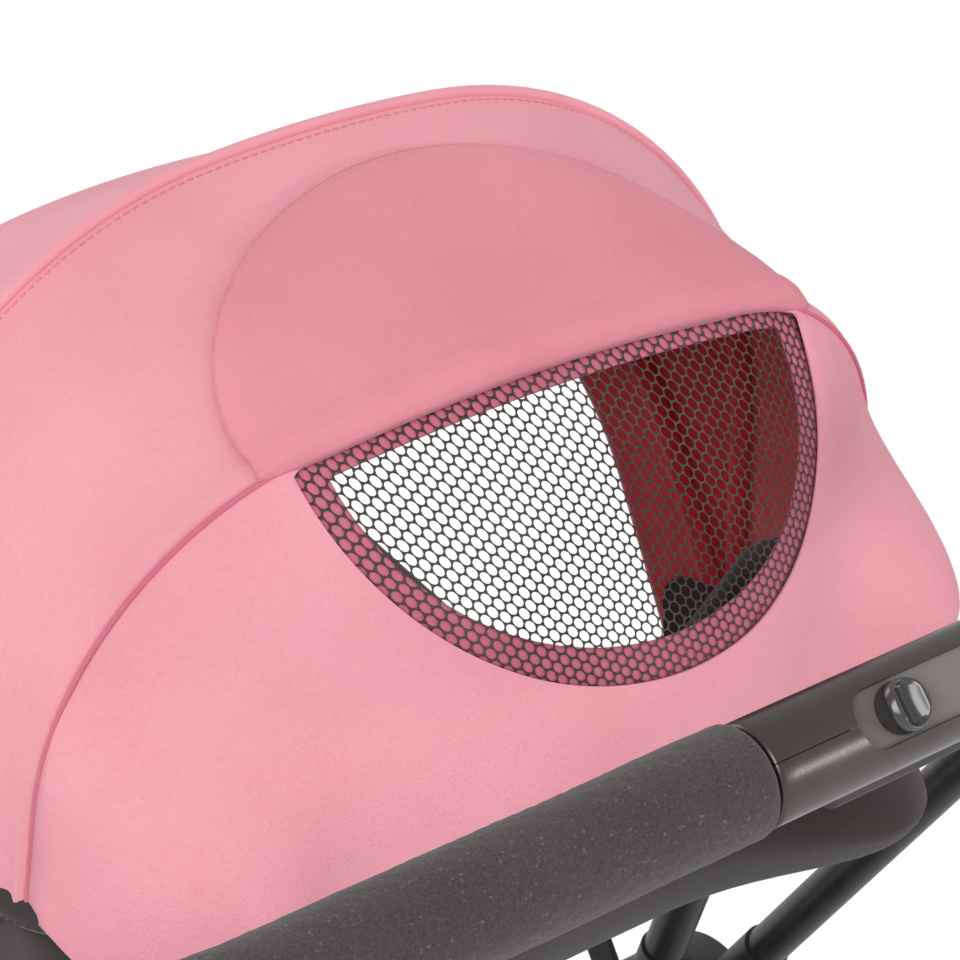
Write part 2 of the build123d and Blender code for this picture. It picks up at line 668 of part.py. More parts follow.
with BuildPart() as grip:
    with BuildSketch(side_plane(HOUSING_HALF + SEAT_GAP)):
        with Locations((HANDLE_Y, HANDLE_Z)):
            Circle(FOAM_R)
            Circle(TUBE_R + RUN_GAP, mode=Mode.SUBTRACT)
    extrude(amount=FOAM_END - HOUSING_HALF - SEAT_GAP)
    fillet(grip.edges().filter_by(GeomType.CIRCLE).group_by(SortBy.RADIUS)[-1], FOAM_ROUND)
save_pair(grip.part, "foam_grip")

# Centre housing in two halves, with a thumb slider in a long recess and a squeeze trigger below
tilt = radians(FACE_TILT)
THUMB = Plane(origin=(0, HANDLE_Y, HANDLE_Z), x_dir=(1, 0, 0), z_dir=(0, -cos(tilt), sin(tilt)))
squeeze = radians(TRIGGER_TILT)
SQUEEZE = Plane(origin=(0, HANDLE_Y, HANDLE_Z), x_dir=(1, 0, 0), z_dir=(0, cos(squeeze), sin(squeeze)))
RECESS_FLOOR = HOUSING_R - RECESS_D


def housing_half(keep):
    """One half of the clamshell round the handle tube, split through the thumb recess."""
    with BuildPart() as shell:
        with BuildSketch(side_plane(0)):
            with Locations((HANDLE_Y, HANDLE_Z)):
                Circle(HOUSING_R)
        extrude(amount=HOUSING_HALF, both=True)
        fillet(shell.edges().filter_by(GeomType.CIRCLE), HOUSING_ROUND)
        with BuildSketch(side_plane(0)):
            with Locations((HANDLE_Y, HANDLE_Z)):
                Circle(TUBE_R + RUN_GAP)
        extrude(amount=HOUSING_HALF, both=True, mode=Mode.SUBTRACT)
        with BuildSketch(THUMB.offset(RECESS_FLOOR)):
            SlotOverall(RECESS_L, RECESS_W)
        extrude(amount=HOUSING_R, mode=Mode.SUBTRACT)
        with BuildSketch(SQUEEZE):
            RectangleRounded(TRIGGER_L + 2 * BODY_GAP, TRIGGER_W + 2 * BODY_GAP, TRIGGER_CORNER_R)
        extrude(amount=2 * HOUSING_R, mode=Mode.SUBTRACT)
        split(bisect_by=Plane(origin=THUMB.origin, x_dir=(1, 0, 0), z_dir=THUMB.y_dir), keep=keep)
    return shell.part


save(housing_half(Keep.TOP), "housing_upper")
save(housing_half(Keep.BOTTOM), "housing_lower")

with BuildPart() as knob:
    with BuildSketch(THUMB.offset(RECESS_FLOOR + SEAT_GAP)):
        with Locations((KNOB_REST_X, 0)):
            Circle(KNOB_R)
    extrude(amount=KNOB_H)
    knob_rim = knob.edges().filter_by(GeomType.CIRCLE).group_by(Axis((0, 0, 0), THUMB.z_dir))[-1]
    fillet(knob_rim, KNOB_ROUND)
    scoop_height = RECESS_FLOOR + SEAT_GAP + KNOB_H + KNOB_SCOOP_R - KNOB_SCOOP_D
    scoop_at = THUMB.from_local_coords((KNOB_REST_X, -KNOB_R - OVERCUT, scoop_height))
    with BuildSketch(Plane(origin=scoop_at, x_dir=(1, 0, 0), z_dir=THUMB.y_dir)):
        Circle(KNOB_SCOOP_R)
    extrude(amount=2 * KNOB_R + 2 * OVERCUT, mode=Mode.SUBTRACT)
save(knob.part, "thumb_slider")

TRIGGER_IN = TUBE_R + SEAT_GAP + TRIGGER_TRAVEL
with BuildPart() as trigger:
    with BuildSketch(SQUEEZE.offset(TRIGGER_IN)):
        RectangleRounded(TRIGGER_L, TRIGGER_W, TRIGGER_CORNER_R)
    extrude(amount=TRIGGER_DROP)
    fillet(trigger.faces().sort_by(Axis((0, 0, 0), SQUEEZE.z_dir))[-1].edges(), TRIGGER_ROUND)
save(trigger.part, "squeeze_trigger")

# Cabin: rim tube, fabric tub, floor board and pad
rim_points = [
    (0, RIM_REAR_Y, RIM_Z),
    (RIM_HALF_W, RIM_REAR_Y, RIM_Z),
    (RIM_HALF_W, RIM_DROP_Y, RIM_Z),
    (RIM_HALF_W, RIM_DIP_Y, RIM_DIP_Z),
    (RIM_HALF_W, RIM_FRONT_Y, RIM_FRONT_Z),
    (0, RIM_FRONT_Y, RIM_FRONT_Z),
]
rim_radii = [RIM_REAR_R, RIM_DROP_R, RIM_DIP_R, RIM_FRONT_R]
with BuildPart() as rim_frame:
    add(bent_tube(rim_points, rim_radii, RIM_TUBE_R))
    mirror(about=Plane.YZ)
save(rim_frame.part, "rim_frame")

TUB_HALF_W = RIM_HALF_W + TUB_MARGIN
TUB_REAR_Y = RIM_REAR_Y - TUB_MARGIN
TUB_FRONT_Y = RIM_FRONT_Y + TUB_MARGIN
TUB_TOP_Z = RIM_Z - RIM_TUBE_R - SEAT_GAP
RIM_RISE = (RIM_FRONT_Z - RIM_DIP_Z) / (RIM_FRONT_Y - RIM_DIP_Y)
with BuildPart() as tub:
    with BuildSketch(side_plane(0)) as profile:
        Polygon(
            (TUB_REAR_Y, TUB_TOP_Z),
            (TUB_REAR_Y, CABIN_REAR_Z),
            (CABIN_FLOOR_REAR_Y, CABIN_FLOOR_Z),
            (CABIN_FLOOR_FRONT_Y, CABIN_FLOOR_Z),
            (TUB_FRONT_Y, CABIN_FRONT_Z),
            (TUB_FRONT_Y, TUB_TOP_Z),
            align=None,
        )
        lower = [v for v in profile.vertices() if v.Y < CABIN_REAR_Z + OVERCUT]
        fillet(lower, CABIN_ROUND)
    extrude(amount=TUB_HALF_W, both=True)
    side_faces = tub.faces().filter_by(Axis.X)
    seams = [e for face in side_faces for e in face.edges() if e.center().Z < TUB_TOP_Z - OVERCUT]
    fillet(seams, CABIN_ROUND)
    offset(amount=-CABIN_WALL, openings=tub.faces().sort_by(Axis.Z)[-1])
    with BuildSketch(side_plane(0)) as dip:
        Polygon(
            (RIM_REAR_Y - RIM_FRONT_Y, RIM_Z),
            (RIM_DROP_Y, RIM_Z),
            (RIM_DIP_Y, RIM_DIP_Z),
            (2 * RIM_FRONT_Y, RIM_FRONT_Z + RIM_RISE * RIM_FRONT_Y),
            (2 * RIM_FRONT_Y, 2 * RIM_Z),
            (RIM_REAR_Y - RIM_FRONT_Y, 2 * RIM_Z),
            align=None,
        )
        corners = dip.vertices()
        fillet([v for v in corners if abs(v.X - RIM_DROP_Y) < OVERCUT], RIM_DROP_R)
        fillet([v for v in dip.vertices() if abs(v.X - RIM_DIP_Y) < OVERCUT], RIM_DIP_R)
        offset(amount=RIM_TUBE_R + SEAT_GAP)
    extrude(amount=2 * TUB_HALF_W, both=True, mode=Mode.SUBTRACT)
save(tub.part, "cabin_tub")

BOARD_Z = CABIN_FLOOR_Z + CABIN_WALL + SEAT_GAP
BOARD_L = CABIN_FLOOR_FRONT_Y - CABIN_FLOOR_REAR_Y - 2 * CABIN_ROUND * BOARD_INSET
BOARD_Y = (CABIN_FLOOR_FRONT_Y + CABIN_FLOOR_REAR_Y) / 2
BOARD_HALF_W = TUB_HALF_W - CABIN_ROUND
with BuildPart() as board:
    with BuildSketch(Plane.XY.offset(BOARD_Z)):
        with Locations((0, BOARD_Y)):
            RectangleRounded(2 * BOARD_HALF_W, BOARD_L, BOARD_CORNER_R)
    extrude(amount=BOARD_T)
save(board.part, "floor_board")

PAD_Z = BOARD_Z + BOARD_T + SEAT_GAP
PAD_SECTIONS = [
    (0.0, PAD_MARGIN),
    (0.35, 0.0),
    (0.75, PAD_MARGIN / 2),
    (0.92, PAD_MARGIN * 2),
    (1.0, PAD_MARGIN * 4),
]
with BuildPart() as pad:
    for share, inset in PAD_SECTIONS:
        with BuildSketch(Plane.XY.offset(PAD_Z + share * PAD_T)):
            with Locations((0, BOARD_Y)):
                RectangleRounded(2 * (BOARD_HALF_W - inset), BOARD_L - 2 * inset, PAD_ROUND)
    loft()
save(pad.part, "cabin_pad")

# Side brackets that carry the rim frame and the canopy pivots, on struts from the hubs
save_pair(hub_tube(HUB_X, STRUT_ANGLE, STRUT_L - SEAT_GAP), "rim_strut")
with BuildPart() as hinge:
    with BuildSketch(side_plane(HINGE_X)):
        with Locations((PIVOT_Y, (HINGE_FOOT_Z + PIVOT_Z + HINGE_OVER) / 2)):
            RectangleRounded(HINGE_W, PIVOT_Z + HINGE_OVER - HINGE_FOOT_Z, HINGE_ROUND)
    extrude(amount=HINGE_T)
    with BuildSketch(Plane.XY.offset(HINGE_FOOT_Z)):
        with Locations(((HINGE_X + HUB_X + SLEEVE_R) / 2, PIVOT_Y)):
            RectangleRounded(HUB_X + SLEEVE_R - HINGE_X, HINGE_SHELF_W, HINGE_SHELF_ROUND)
    extrude(amount=HINGE_SHELF_T)
    with BuildSketch(hub_ray(HUB_X, STRUT_ANGLE, STRUT_L + HINGE_SLEEVE_OVER)):
        Circle(SLEEVE_R)
    extrude(amount=-BOOT_REACH)
    with BuildSketch(hub_ray(HUB_X, STRUT_ANGLE, STRUT_L)):
        Circle(TUBE_R + RUN_GAP)
    extrude(amount=-BOOT_REACH, mode=Mode.SUBTRACT)
    with BuildSketch(side_plane(HINGE_X)):
        with Locations((PIVOT_Y, PIVOT_Z)):
            Circle(PIVOT_PIN_R + RUN_GAP)
    extrude(amount=HINGE_T, mode=Mode.SUBTRACT)
save_pair(hinge.part, "canopy_hinge")

PIN_END_X = TOP_BOW_HALF_W + BOW_R + SEAT_GAP
with BuildPart() as canopy_pin:
    with BuildSketch(side_plane(HINGE_X)):
        with Locations((PIVOT_Y, PIVOT_Z)):
            Circle(PIVOT_PIN_R)
    extrude(amount=PIN_END_X - HINGE_X)
    with BuildSketch(side_plane(PIN_END_X)):
        with Locations((PIVOT_Y, PIVOT_Z)):
            Circle(EYE_R)
    extrude(amount=PIN_HEAD_T)
    fillet(canopy_pin.faces().sort_by(Axis.X)[-1].edges(), PIN_HEAD_ROUND)
save_pair(canopy_pin.part, "canopy_pin")

# Canopy bows
with BuildPart() as hoop:
    leg_top, knee, join = arch_points(HOOP_HALF_W, HOOP_TOP, HOOP_CROWN_R, HOOP_CORNER_R)
    foot_y = PIVOT_Y - HINGE_SHELF_W / 4
    turn_y = HOOP_Y + HOOP_FOOT_R * (1 - sqrt(0.5))
    turn_z = HOOP_FOOT_Z + HOOP_FOOT_R * (1 - sqrt(0.5))
    with BuildLine() as route:
        for x in (-HOOP_HALF_W, HOOP_HALF_W):
            Line((x, foot_y, HOOP_FOOT_Z), (x, HOOP_Y + HOOP_FOOT_R, HOOP_FOOT_Z))
            foot_end = (x, HOOP_Y + HOOP_FOOT_R, HOOP_FOOT_Z)
            leg_start = (x, HOOP_Y, HOOP_FOOT_Z + HOOP_FOOT_R)
            ThreePointArc(foot_end, (x, turn_y, turn_z), leg_start)
            Line(leg_start, (x, HOOP_Y, leg_top))
        for x, kx, jx in ((-HOOP_HALF_W, -knee[0], -join[0]), (HOOP_HALF_W, knee[0], join[0])):
            ThreePointArc((x, HOOP_Y, leg_top), (kx, HOOP_Y, knee[1]), (jx, HOOP_Y, join[1]))
        ThreePointArc((-join[0], HOOP_Y, join[1]), (0, HOOP_Y, HOOP_TOP), (join[0], HOOP_Y, join[1]))
    with BuildSketch(Plane(origin=route.wire() @ 0, z_dir=route.wire() % 0)):
        Circle(BOW_R)
    sweep(path=route.wire())
save(hoop.part, "rear_hoop")
save(swing_bow(TOP_BOW_TILT, TOP_BOW_HALF_W, TOP_BOW_RISE, TOP_BOW_CROWN_R, TOP_BOW_CORNER_R), "top_bow")
front_bow = swing_bow(
    FRONT_BOW_TILT, FRONT_BOW_HALF_W, FRONT_BOW_RISE, FRONT_BOW_CROWN_R, FRONT_BOW_CORNER_R
)
save(front_bow, "front_bow")

# Canopy fabric: rear panel with its window, then the middle and front panels over the bows
COVER = BOW_R + BODY_GAP + FABRIC_T
REAR_FACE_Y = HOOP_Y - BOW_R - BODY_GAP
REAR_BACK_Y = REAR_FACE_Y - FABRIC_T
UPRIGHT = Plane(origin=(0, REAR_BACK_Y, 0), x_dir=(1, 0, 0), z_dir=(0, -1, 0))
WINDOW = Plane(origin=(WINDOW_X, REAR_BACK_Y, 0), x_dir=(1, 0, 0), z_dir=(0, 1, 0))
CROWN_CENTRE_Z = HOOP_TOP - HOOP_CROWN_R


def window_outline(plane, inset):
    """Window shape: rounded below, with a top edge that follows the hoop's crown."""
    half_w = NET_HALF_W - inset
    top_r = NET_TOP_Z - inset - CROWN_CENTRE_Z
    bottom = NET_BOTTOM_Z + inset
    with BuildSketch(plane) as shape:
        add(arch_plate(Plane.XY, half_w, -NET_TOP_Z, -bottom, NET_CROWN_R - inset, NET_CORNER_R - inset))
        with Locations((-WINDOW_X, -CROWN_CENTRE_Z)):
            Circle(top_r, mode=Mode.INTERSECT)
    return shape.sketch


with BuildPart() as rear_panel:
    plate = arch_plate(
        UPRIGHT, HOOP_HALF_W + BOW_R, REAR_HEM_Z, HOOP_TOP + BOW_R, HOOP_CROWN_R + BOW_R,
        HOOP_CORNER_R + BOW_R
    )
    extrude(plate, amount=-FABRIC_T)
    extrude(window_outline(WINDOW, NET_MARGIN), amount=FABRIC_T, mode=Mode.SUBTRACT)
save(rear_panel.part, "rear_panel")


def net_gaps():
    """Centres of the net's gaps, in rows set half a pitch apart, as x and height."""
    half_w = NET_HALF_W - NET_MARGIN / 2 - NET_PITCH / 2
    crown_r = NET_TOP_Z - NET_MARGIN / 2 - NET_PITCH / 2 - CROWN_CENTRE_Z
    bottom = NET_BOTTOM_Z + NET_MARGIN / 2 + NET_PITCH / 2
    fall = sqrt((NET_CROWN_R - NET_CORNER_R) ** 2 - (NET_HALF_W - NET_CORNER_R) ** 2)
    bow_z = NET_BOTTOM_Z + NET_CROWN_R - fall
    rise = NET_PITCH * sqrt(3) / 2
    centres = []
    for row in range(int((NET_TOP_Z - NET_BOTTOM_Z) / rise)):
        z = bottom + row * rise
        for column in range(-int(half_w / NET_PITCH) - 1, int(half_w / NET_PITCH) + 2):
            x = (column + (row % 2) / 2) * NET_PITCH
            drop = max(0.0, (bow_z - z) / (bow_z - bottom))
            inside = abs(x) <= half_w * sqrt(max(0.0, 1 - drop ** 2))
            if inside and hypot(WINDOW_X + x, z - CROWN_CENTRE_Z) <= crown_r:
                centres.append((x, -z))
    return centres


with BuildPart() as net:
    with BuildSketch(WINDOW.offset(-SEAT_GAP)):
        add(window_outline(Plane.XY, 0))
        with Locations(*net_gaps()):
            gap_r = (NET_PITCH - NET_CORD) / 2
            RegularPolygon(gap_r, 6, major_radius=False, rotation=30, mode=Mode.SUBTRACT)
    extrude(amount=-NET_T)
save(net.part, "window_net")

TOP_FOOT = (SKIRT_Z - PIVOT_Z) / cos(radians(TOP_BOW_TILT))
seam_band = arch_band(
    UPRIGHT, HOOP_HALF_W + COVER, SKIRT_Z, HOOP_TOP + COVER, HOOP_CROWN_R + COVER,
    HOOP_CORNER_R + COVER, FABRIC_T
)


def top_band(shift, foot):
    """Cross-section of the fabric where it runs over the top bow."""
    return arch_band(
        canopy_plane(TOP_BOW_TILT, shift), TOP_BOW_HALF_W + COVER, foot, TOP_BOW_RISE + COVER,
        TOP_BOW_CROWN_R + COVER, TOP_BOW_CORNER_R + COVER, FABRIC_T
    )


with BuildPart() as middle_panel:
    loft([seam_band.face(), top_band(-BODY_GAP / 2, TOP_FOOT).face()], ruled=True)
save(middle_panel.part, "middle_panel")

front_band = arch_band(
    canopy_plane(FRONT_BOW_TILT, VISOR_L), FRONT_BOW_HALF_W + COVER, FAN_START,
    FRONT_BOW_RISE + COVER + VISOR_LIFT, FRONT_BOW_CROWN_R + COVER, FRONT_BOW_CORNER_R + COVER, FABRIC_T
)
with BuildPart() as front_panel:
    loft([top_band(BODY_GAP / 2, FAN_START).face(), front_band.face()], ruled=True)
save(front_panel.part, "front_panel")

FLAP_OUT = COVER + FLAP_LIFT + FABRIC_T
seam_strip = arch_band(
    UPRIGHT, HOOP_HALF_W + FLAP_OUT, SKIRT_Z, HOOP_TOP + FLAP_OUT, HOOP_CROWN_R + FLAP_OUT,
    HOOP_CORNER_R + FLAP_OUT, FABRIC_T
)
top_strip = arch_band(
    canopy_plane(TOP_BOW_TILT), TOP_BOW_HALF_W + FLAP_OUT, TOP_FOOT, TOP_BOW_RISE + FLAP_OUT,
    TOP_BOW_CROWN_R + FLAP_OUT, TOP_BOW_CORNER_R + FLAP_OUT, FABRIC_T
)
TOP_BOW_APEX_Y = PIVOT_Y - TOP_BOW_RISE * sin(radians(TOP_BOW_TILT))
FLAP_L = (TOP_BOW_APEX_Y - REAR_BACK_Y) * FLAP_SPAN
with BuildPart() as flap:
    loft([seam_strip.face(), top_strip.face()], ruled=True)
    with BuildSketch(Plane.XY.offset(HOOP_FOOT_Z)) as shape:
        with Locations((WINDOW_X, REAR_BACK_Y + FLAP_L / 2)):
            Rectangle(2 * FLAP_HALF_W, FLAP_L)
        fillet(shape.vertices().group_by(Axis.Y)[-1], FLAP_ROUND)
    extrude(amount=HOOP_TOP, mode=Mode.INTERSECT)
save(flap.part, "window_flap")

# Storage basket hung from the cabin on four webbing straps
BASKET_MIDDLE = (0, (BASKET_REAR_Y + BASKET_FRONT_Y) / 2)
BASKET_L = BASKET_FRONT_Y - BASKET_REAR_Y
with BuildPart() as basket:
    for drop in (0.0, 1.0):
        with BuildSketch(Plane.XY.offset(BASKET_TOP_Z - drop * BASKET_DEPTH)):
            with Locations(BASKET_MIDDLE):
                inset = drop * BASKET_TAPER
                RectangleRounded(2 * (TUB_HALF_W - inset), BASKET_L - 2 * inset, BASKET_ROUND)
    loft(ruled=True)
    offset(amount=-BASKET_WALL, openings=basket.faces().sort_by(Axis.Z)[-1])
save(basket.part, "basket")

with BuildPart() as straps:
    for x, way in ((TUB_HALF_W + SEAT_GAP, 1), (-TUB_HALF_W - SEAT_GAP, -1)):
        for (y, z), foot_y in ((STRAP_REAR_TOP, STRAP_REAR_FOOT_Y), (STRAP_FRONT_TOP, STRAP_FRONT_TOP[0])):
            foot_z = BASKET_TOP_Z - STRAP_LAP
            with BuildSketch(side_plane(x)):
                Polygon(
                    (y - STRAP_W / 2, z), (y + STRAP_W / 2, z), (foot_y + STRAP_W / 2, foot_z),
                    (foot_y - STRAP_W / 2, foot_z), align=None
                )
            extrude(amount=STRAP_T * way)
save(straps.part, "basket_straps")
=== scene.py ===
"""Looks of a folding four-wheel pet stroller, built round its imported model. Sizes are in millimetres."""

from contextlib import contextmanager
from math import atan2, cos, pi, radians, sin, sqrt

import bmesh
import bpy
import numpy as np
from mathutils import Matrix, Vector


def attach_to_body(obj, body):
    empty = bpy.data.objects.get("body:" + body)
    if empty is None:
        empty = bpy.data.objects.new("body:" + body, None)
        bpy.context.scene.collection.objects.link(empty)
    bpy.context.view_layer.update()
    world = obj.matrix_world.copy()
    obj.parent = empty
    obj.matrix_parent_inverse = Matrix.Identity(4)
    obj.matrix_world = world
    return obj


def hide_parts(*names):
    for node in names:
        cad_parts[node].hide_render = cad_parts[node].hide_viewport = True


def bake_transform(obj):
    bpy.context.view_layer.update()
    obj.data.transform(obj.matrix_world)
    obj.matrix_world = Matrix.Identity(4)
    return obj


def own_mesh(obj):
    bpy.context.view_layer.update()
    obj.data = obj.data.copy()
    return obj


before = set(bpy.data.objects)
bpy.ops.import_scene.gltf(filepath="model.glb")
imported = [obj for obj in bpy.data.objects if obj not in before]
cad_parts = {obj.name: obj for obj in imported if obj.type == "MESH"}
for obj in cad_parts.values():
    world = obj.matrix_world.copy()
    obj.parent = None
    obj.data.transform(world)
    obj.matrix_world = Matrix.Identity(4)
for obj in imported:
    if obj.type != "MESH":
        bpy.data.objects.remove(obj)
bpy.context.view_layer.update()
MM = 0.001

# Canopy bows: half-width, top, crown radius and corner radius. The rear hoop leans, unlike the model's.
PIVOT = (-15.0, 770.0)
HOOP_Y = -137.0
HOOP = (174.0, 970.2, 660.0, 100.0)
HOOP_LEAN = 0.295
HOOP_FOOT_Z = 826.0
HOOP_RIDGE = (1.9, 5.2, 3.6)  # height over the rod, its way from the seam and its width
TOP_BOW = (201.4, 255.4, 505.4, 170.4)
TOP_LEAN = 3.9
FRONT_BOW = (194.4, 230.4, 485.4, 157.4)
VISOR_EDGE = (194.4, 221.0, 485.4, 157.4)
FRONT_LEAN = -22.7
VISOR_L = 44.0
ROD_DROP = 5.4
ROD_R = 3.0
CORNER_HEM_Z = 828.0
SIDE_HEM = -12.0
SLEEVE_HEM = 6.0  # a sleeve ends this far above the cloth's hem
CLOTH_T = 1.3

# Rear panel and window
BULGE_MIDDLE = (0.0, 833.0)
PANEL_BULGE = 101.0
PANEL_FULL = 1.08
PANEL_FOOT_Z = 800.0
PANEL_CORNER_R = 24.0
TUCK_REACH = 40.0
TUCK_Z = (786.0, 834.0)
FLARE_X = (80.0, 150.0)
FLARE_Z = (845.0, 910.0)
FLARE_FULL = (95.0, 8.0, 0.45)  # reach, how square it is and how steep its edge is
WINDOW = (13.4, 104.5, 86.4, 1.9)  # middle, half-width, height and how square its foot is
SEAM_GAP = 2.0
FACING_LAP = 1.5
FACING_W = 11.0
FACING_T = 0.9
NET_LAP = 2.4
NET_PITCH = 6.93
NET_ROW = 2.0
NET_STRAND = 0.27
NET_HOLE = (0.762, 0.88)
NET_LAY = np.array(((0.942, -0.103), (-0.105, 0.918)))  # how the knit is drawn across the window
NET_DEPTH = CLOTH_T + 1.3 * NET_STRAND

# Flap
FLAP_X = 11.0
FLAP_HALF_W = 113.0
FLAP_SHARE = 0.82
FLAP_PUFF = 6.0
FLAP_LIFT = 2.8
FLAP_ROOT = 24.0
FLAP_T = 1.4
FLAP_GRID = (57, 97)
FLAP_RISE = 31.0  # degrees from the level, at the seam

# Handle
BAR = (-317.0, 926.0)
FOAM_R = 16.5
FOAM_FROM = 74.3
FOAM_TO = 268.0
FOAM_ROUND = 3.2
FOAM_STEP = 1.5
CORNER_FROM = 231.8
CORNER_R = 34.0
ARM_WAY = np.array((0.8766, -0.4812))
ARM_SIDE = np.array((0.4812, 0.8766))
HOUSING_R = 15.5
HOUSING_END = 73.8
HOUSING_SPLIT = 0.14
TUBE_R = 9.5
BORE_R = TUBE_R + 0.05
FACE_TILT = 38.0
RECESS_L = 86.0
RECESS_W = 17.6
RECESS_D = 5.0
RECESS_FLOOR = HOUSING_R - RECESS_D
KNOB_X = -25.0
KNOB_R = 7.6
KNOB_H = 7.5
KNOB_CROWN = 2.4

# Cabin and basket
RIM_HALF_W = 171.0
RIM_REAR_Y = -117.0
RIM_Z = 823.0
RIM_DROP_Y = -64.0
RIM_DIP = (40.0, 686.0)
RIM_FRONT = (348.0, 765.0)
RIM_BENDS = (36.0, 30.0, 50.0, 70.0)
RIM_SLEEVE_R = 8.0
TUB = (-118.5, 349.5, 172.5)  # rear, front and half-width
TUB_FLOOR_Z = 591.0
TUB_UNDER_RIM = 7.2
TUB_ROUND = 34.0
TUB_CORNER = 40.0
TUB_BEND = 9.0  # how softly the end walls turn into their slopes
TUB_REAR = (727.0, 1.377)  # height where the wall starts to slope, and its slope
TUB_FRONT = (660.0, 0.862)
TUB_REAR_FULL = (13.8, 705.0)  # how far the foot of the rear wall is let out, and up to which height
TUB_SLACK = 64.0
SLACK_Z = (712.0, 772.0)
SLACK_X = (55.0, 130.0)
SLACK_Y = (-60.0, 45.0)  # where the slack starts, and over what way it grows
SHELL_T = 1.6
BASKET = (-150.0, 190.0, 173.0)
BASKET_Z = (400.0, 250.0)
BASKET_CORNER = 44.0
BASKET_STRAPS_Y = (42.5, 122.5)  # middle between the straps' feet, and half their spacing
STRAP_X = 173.4
STRAP_HALF_W = 11.0
STRAP_T = 1.4
STRAP_FOOT_Z = 360.0
STRAPS = ((85.0, 660.0, -80.0, "rear"), (165.0, 690.0, 165.0, "front"))
PAD_Z = 597.2
PAD_T = 34.0
PAD_MIDDLE_Y = 172.5
PAD_HALF = (139.0, 97.1)
PAD_CORNER = 26.0
PAD_RINGS = (  # share of the pad's height, and how far the ring is drawn in
    (0.06, 30.0), (0.03, 14.0), (0.12, 6.0), (0.35, 4.0), (0.62, 5.0), (0.8, 9.0), (0.9, 18.0), (0.94, 34.0),
)
PAD_CHANNELS = (-48.0, 48.0)

# Camera
CAMERA_SPOT = (-0.6153, -0.9119, 1.3865)
CAMERA_TURN = (37.5, 24.7, 2.6)  # yaw, pitch and roll in degrees
CAMERA_LENS = 128.49


def tone(red, green, blue):
    """A colour as it is seen on a screen, from 0 to 255, as the shader's linear values."""
    seen = np.array([red, green, blue]) / 255
    return (*np.where(seen <= 0.04045, seen / 12.92, ((seen + 0.055) / 1.055) ** 2.4).tolist(), 1.0)


def operators(operation):
    """An operator and its reflected form, as Math nodes."""
    return (
        lambda left, right: left.maths(operation, left, right),
        lambda right, left: right.maths(operation, left, right),
    )


class Wire:
    """The output of a node. Arithmetic on it adds Math nodes."""

    def __init__(self, graph, socket):
        self.graph = graph
        self.socket = socket

    def maths(self, operation, *terms):
        return self.graph.node("ShaderNodeMath", dict(enumerate(terms)), operation=operation)

    __add__, __radd__ = operators("ADD")
    __sub__, __rsub__ = operators("SUBTRACT")
    __mul__, __rmul__ = operators("MULTIPLY")
    __truediv__, __rtruediv__ = operators("DIVIDE")

    def sine(self):
        return self.maths("SINE", self)

    def step(self, low, high):
        """0 below low, 1 above high, smooth between."""
        return self.graph.node(
            "ShaderNodeMapRange", {0: self, 1: low, 2: high}, interpolation_type="SMOOTHSTEP"
        )

    def other(self, name):
        return Wire(self.graph, self.socket.node.outputs[name])


class Graph:
    """A node tree and the one method that adds its nodes."""

    def __init__(self, tree):
        self.tree = tree
        tree.nodes.clear()

    def node(self, kind, sockets=None, **settings):
        made = self.tree.nodes.new(kind)
        for key, value in settings.items():
            setattr(made, key, value)
        for key, value in (sockets or {}).items():
            if isinstance(value, Wire):
                self.tree.links.new(value.socket, made.inputs[key])
            else:
                made.inputs[key].default_value = value
        shown = [socket for socket in made.outputs if socket.enabled]
        return Wire(self, shown[0]) if shown else made

    def rays(self, *kinds):
        """1 for a ray of any of these kinds."""
        path = self.node("ShaderNodeLightPath")
        seen = path.other(f"Is {kinds[0]} Ray")
        for kind in kinds[1:]:
            seen = seen.maths("MAXIMUM", seen, path.other(f"Is {kind} Ray"))
        return seen


class Finish(Graph):
    """A material with one main shader. Fixed values go on the shader's own sockets."""

    def __init__(self, name, **fixed):
        self.material = bpy.data.materials.new(name)
        self.material.use_nodes = True
        super().__init__(self.material.node_tree)
        self.shader = self.node(
            "ShaderNodeBsdfPrincipled", {key.replace("_", " "): value for key, value in fixed.items()}
        )
        self.node("ShaderNodeOutputMaterial", {"Surface": self.shader})

    def give(self, socket, value):
        self.tree.links.new(value.socket, self.shader.socket.node.inputs[socket])

    def place(self, kind="Object"):
        return self.node("ShaderNodeTexCoord").other(kind)

    def noise(self, place, scale, detail=2.0, rough=0.5):
        return self.node(
            "ShaderNodeTexNoise", {"Vector": place, "Scale": scale, "Detail": detail, "Roughness": rough}
        )

    def mix(self, share, first, second):
        return self.node("ShaderNodeMix", {0: share, 6: first, 7: second}, data_type="RGBA")

    def bump(self, height, depth, strength):
        self.give("Normal", self.node(
            "ShaderNodeBump", {"Strength": strength, "Distance": depth * MM, "Height": height}
        ))

    def plane(self, place):
        split = self.node("ShaderNodeSeparateXYZ", {0: place})
        return split, split.other("Y")


def cloth_finish(name, pale, deep, sheen=0.12, thread=0.8, weave=0.35, grain=0.8):
    """Woven cloth: crossing threads on the cloth's own map, a soft grain and slow changes of colour."""
    look = Finish(name, Sheen_Weight=sheen, Sheen_Roughness=0.45, Specular_IOR_Level=0.28)
    flat = look.place("UV")
    along, across = look.plane(flat)
    turns = 2 * pi / (thread * MM)
    threads = (along * turns).sine() * (across * turns).sine()
    slow = look.noise(look.place(), 14.0, 3.0)
    fine = look.noise(flat, 520.0, 3.0, 0.6)
    share = (slow - 0.5) * 0.9 + (fine - 0.5) * 0.5 + 0.5
    look.give("Base Color", look.mix(share.step(0.1, 0.9), tone(*deep), tone(*pale)))
    look.give("Roughness", 0.72 + fine * 0.2)
    look.bump(threads * weave + fine * grain, 0.25, 0.55)
    return look.material


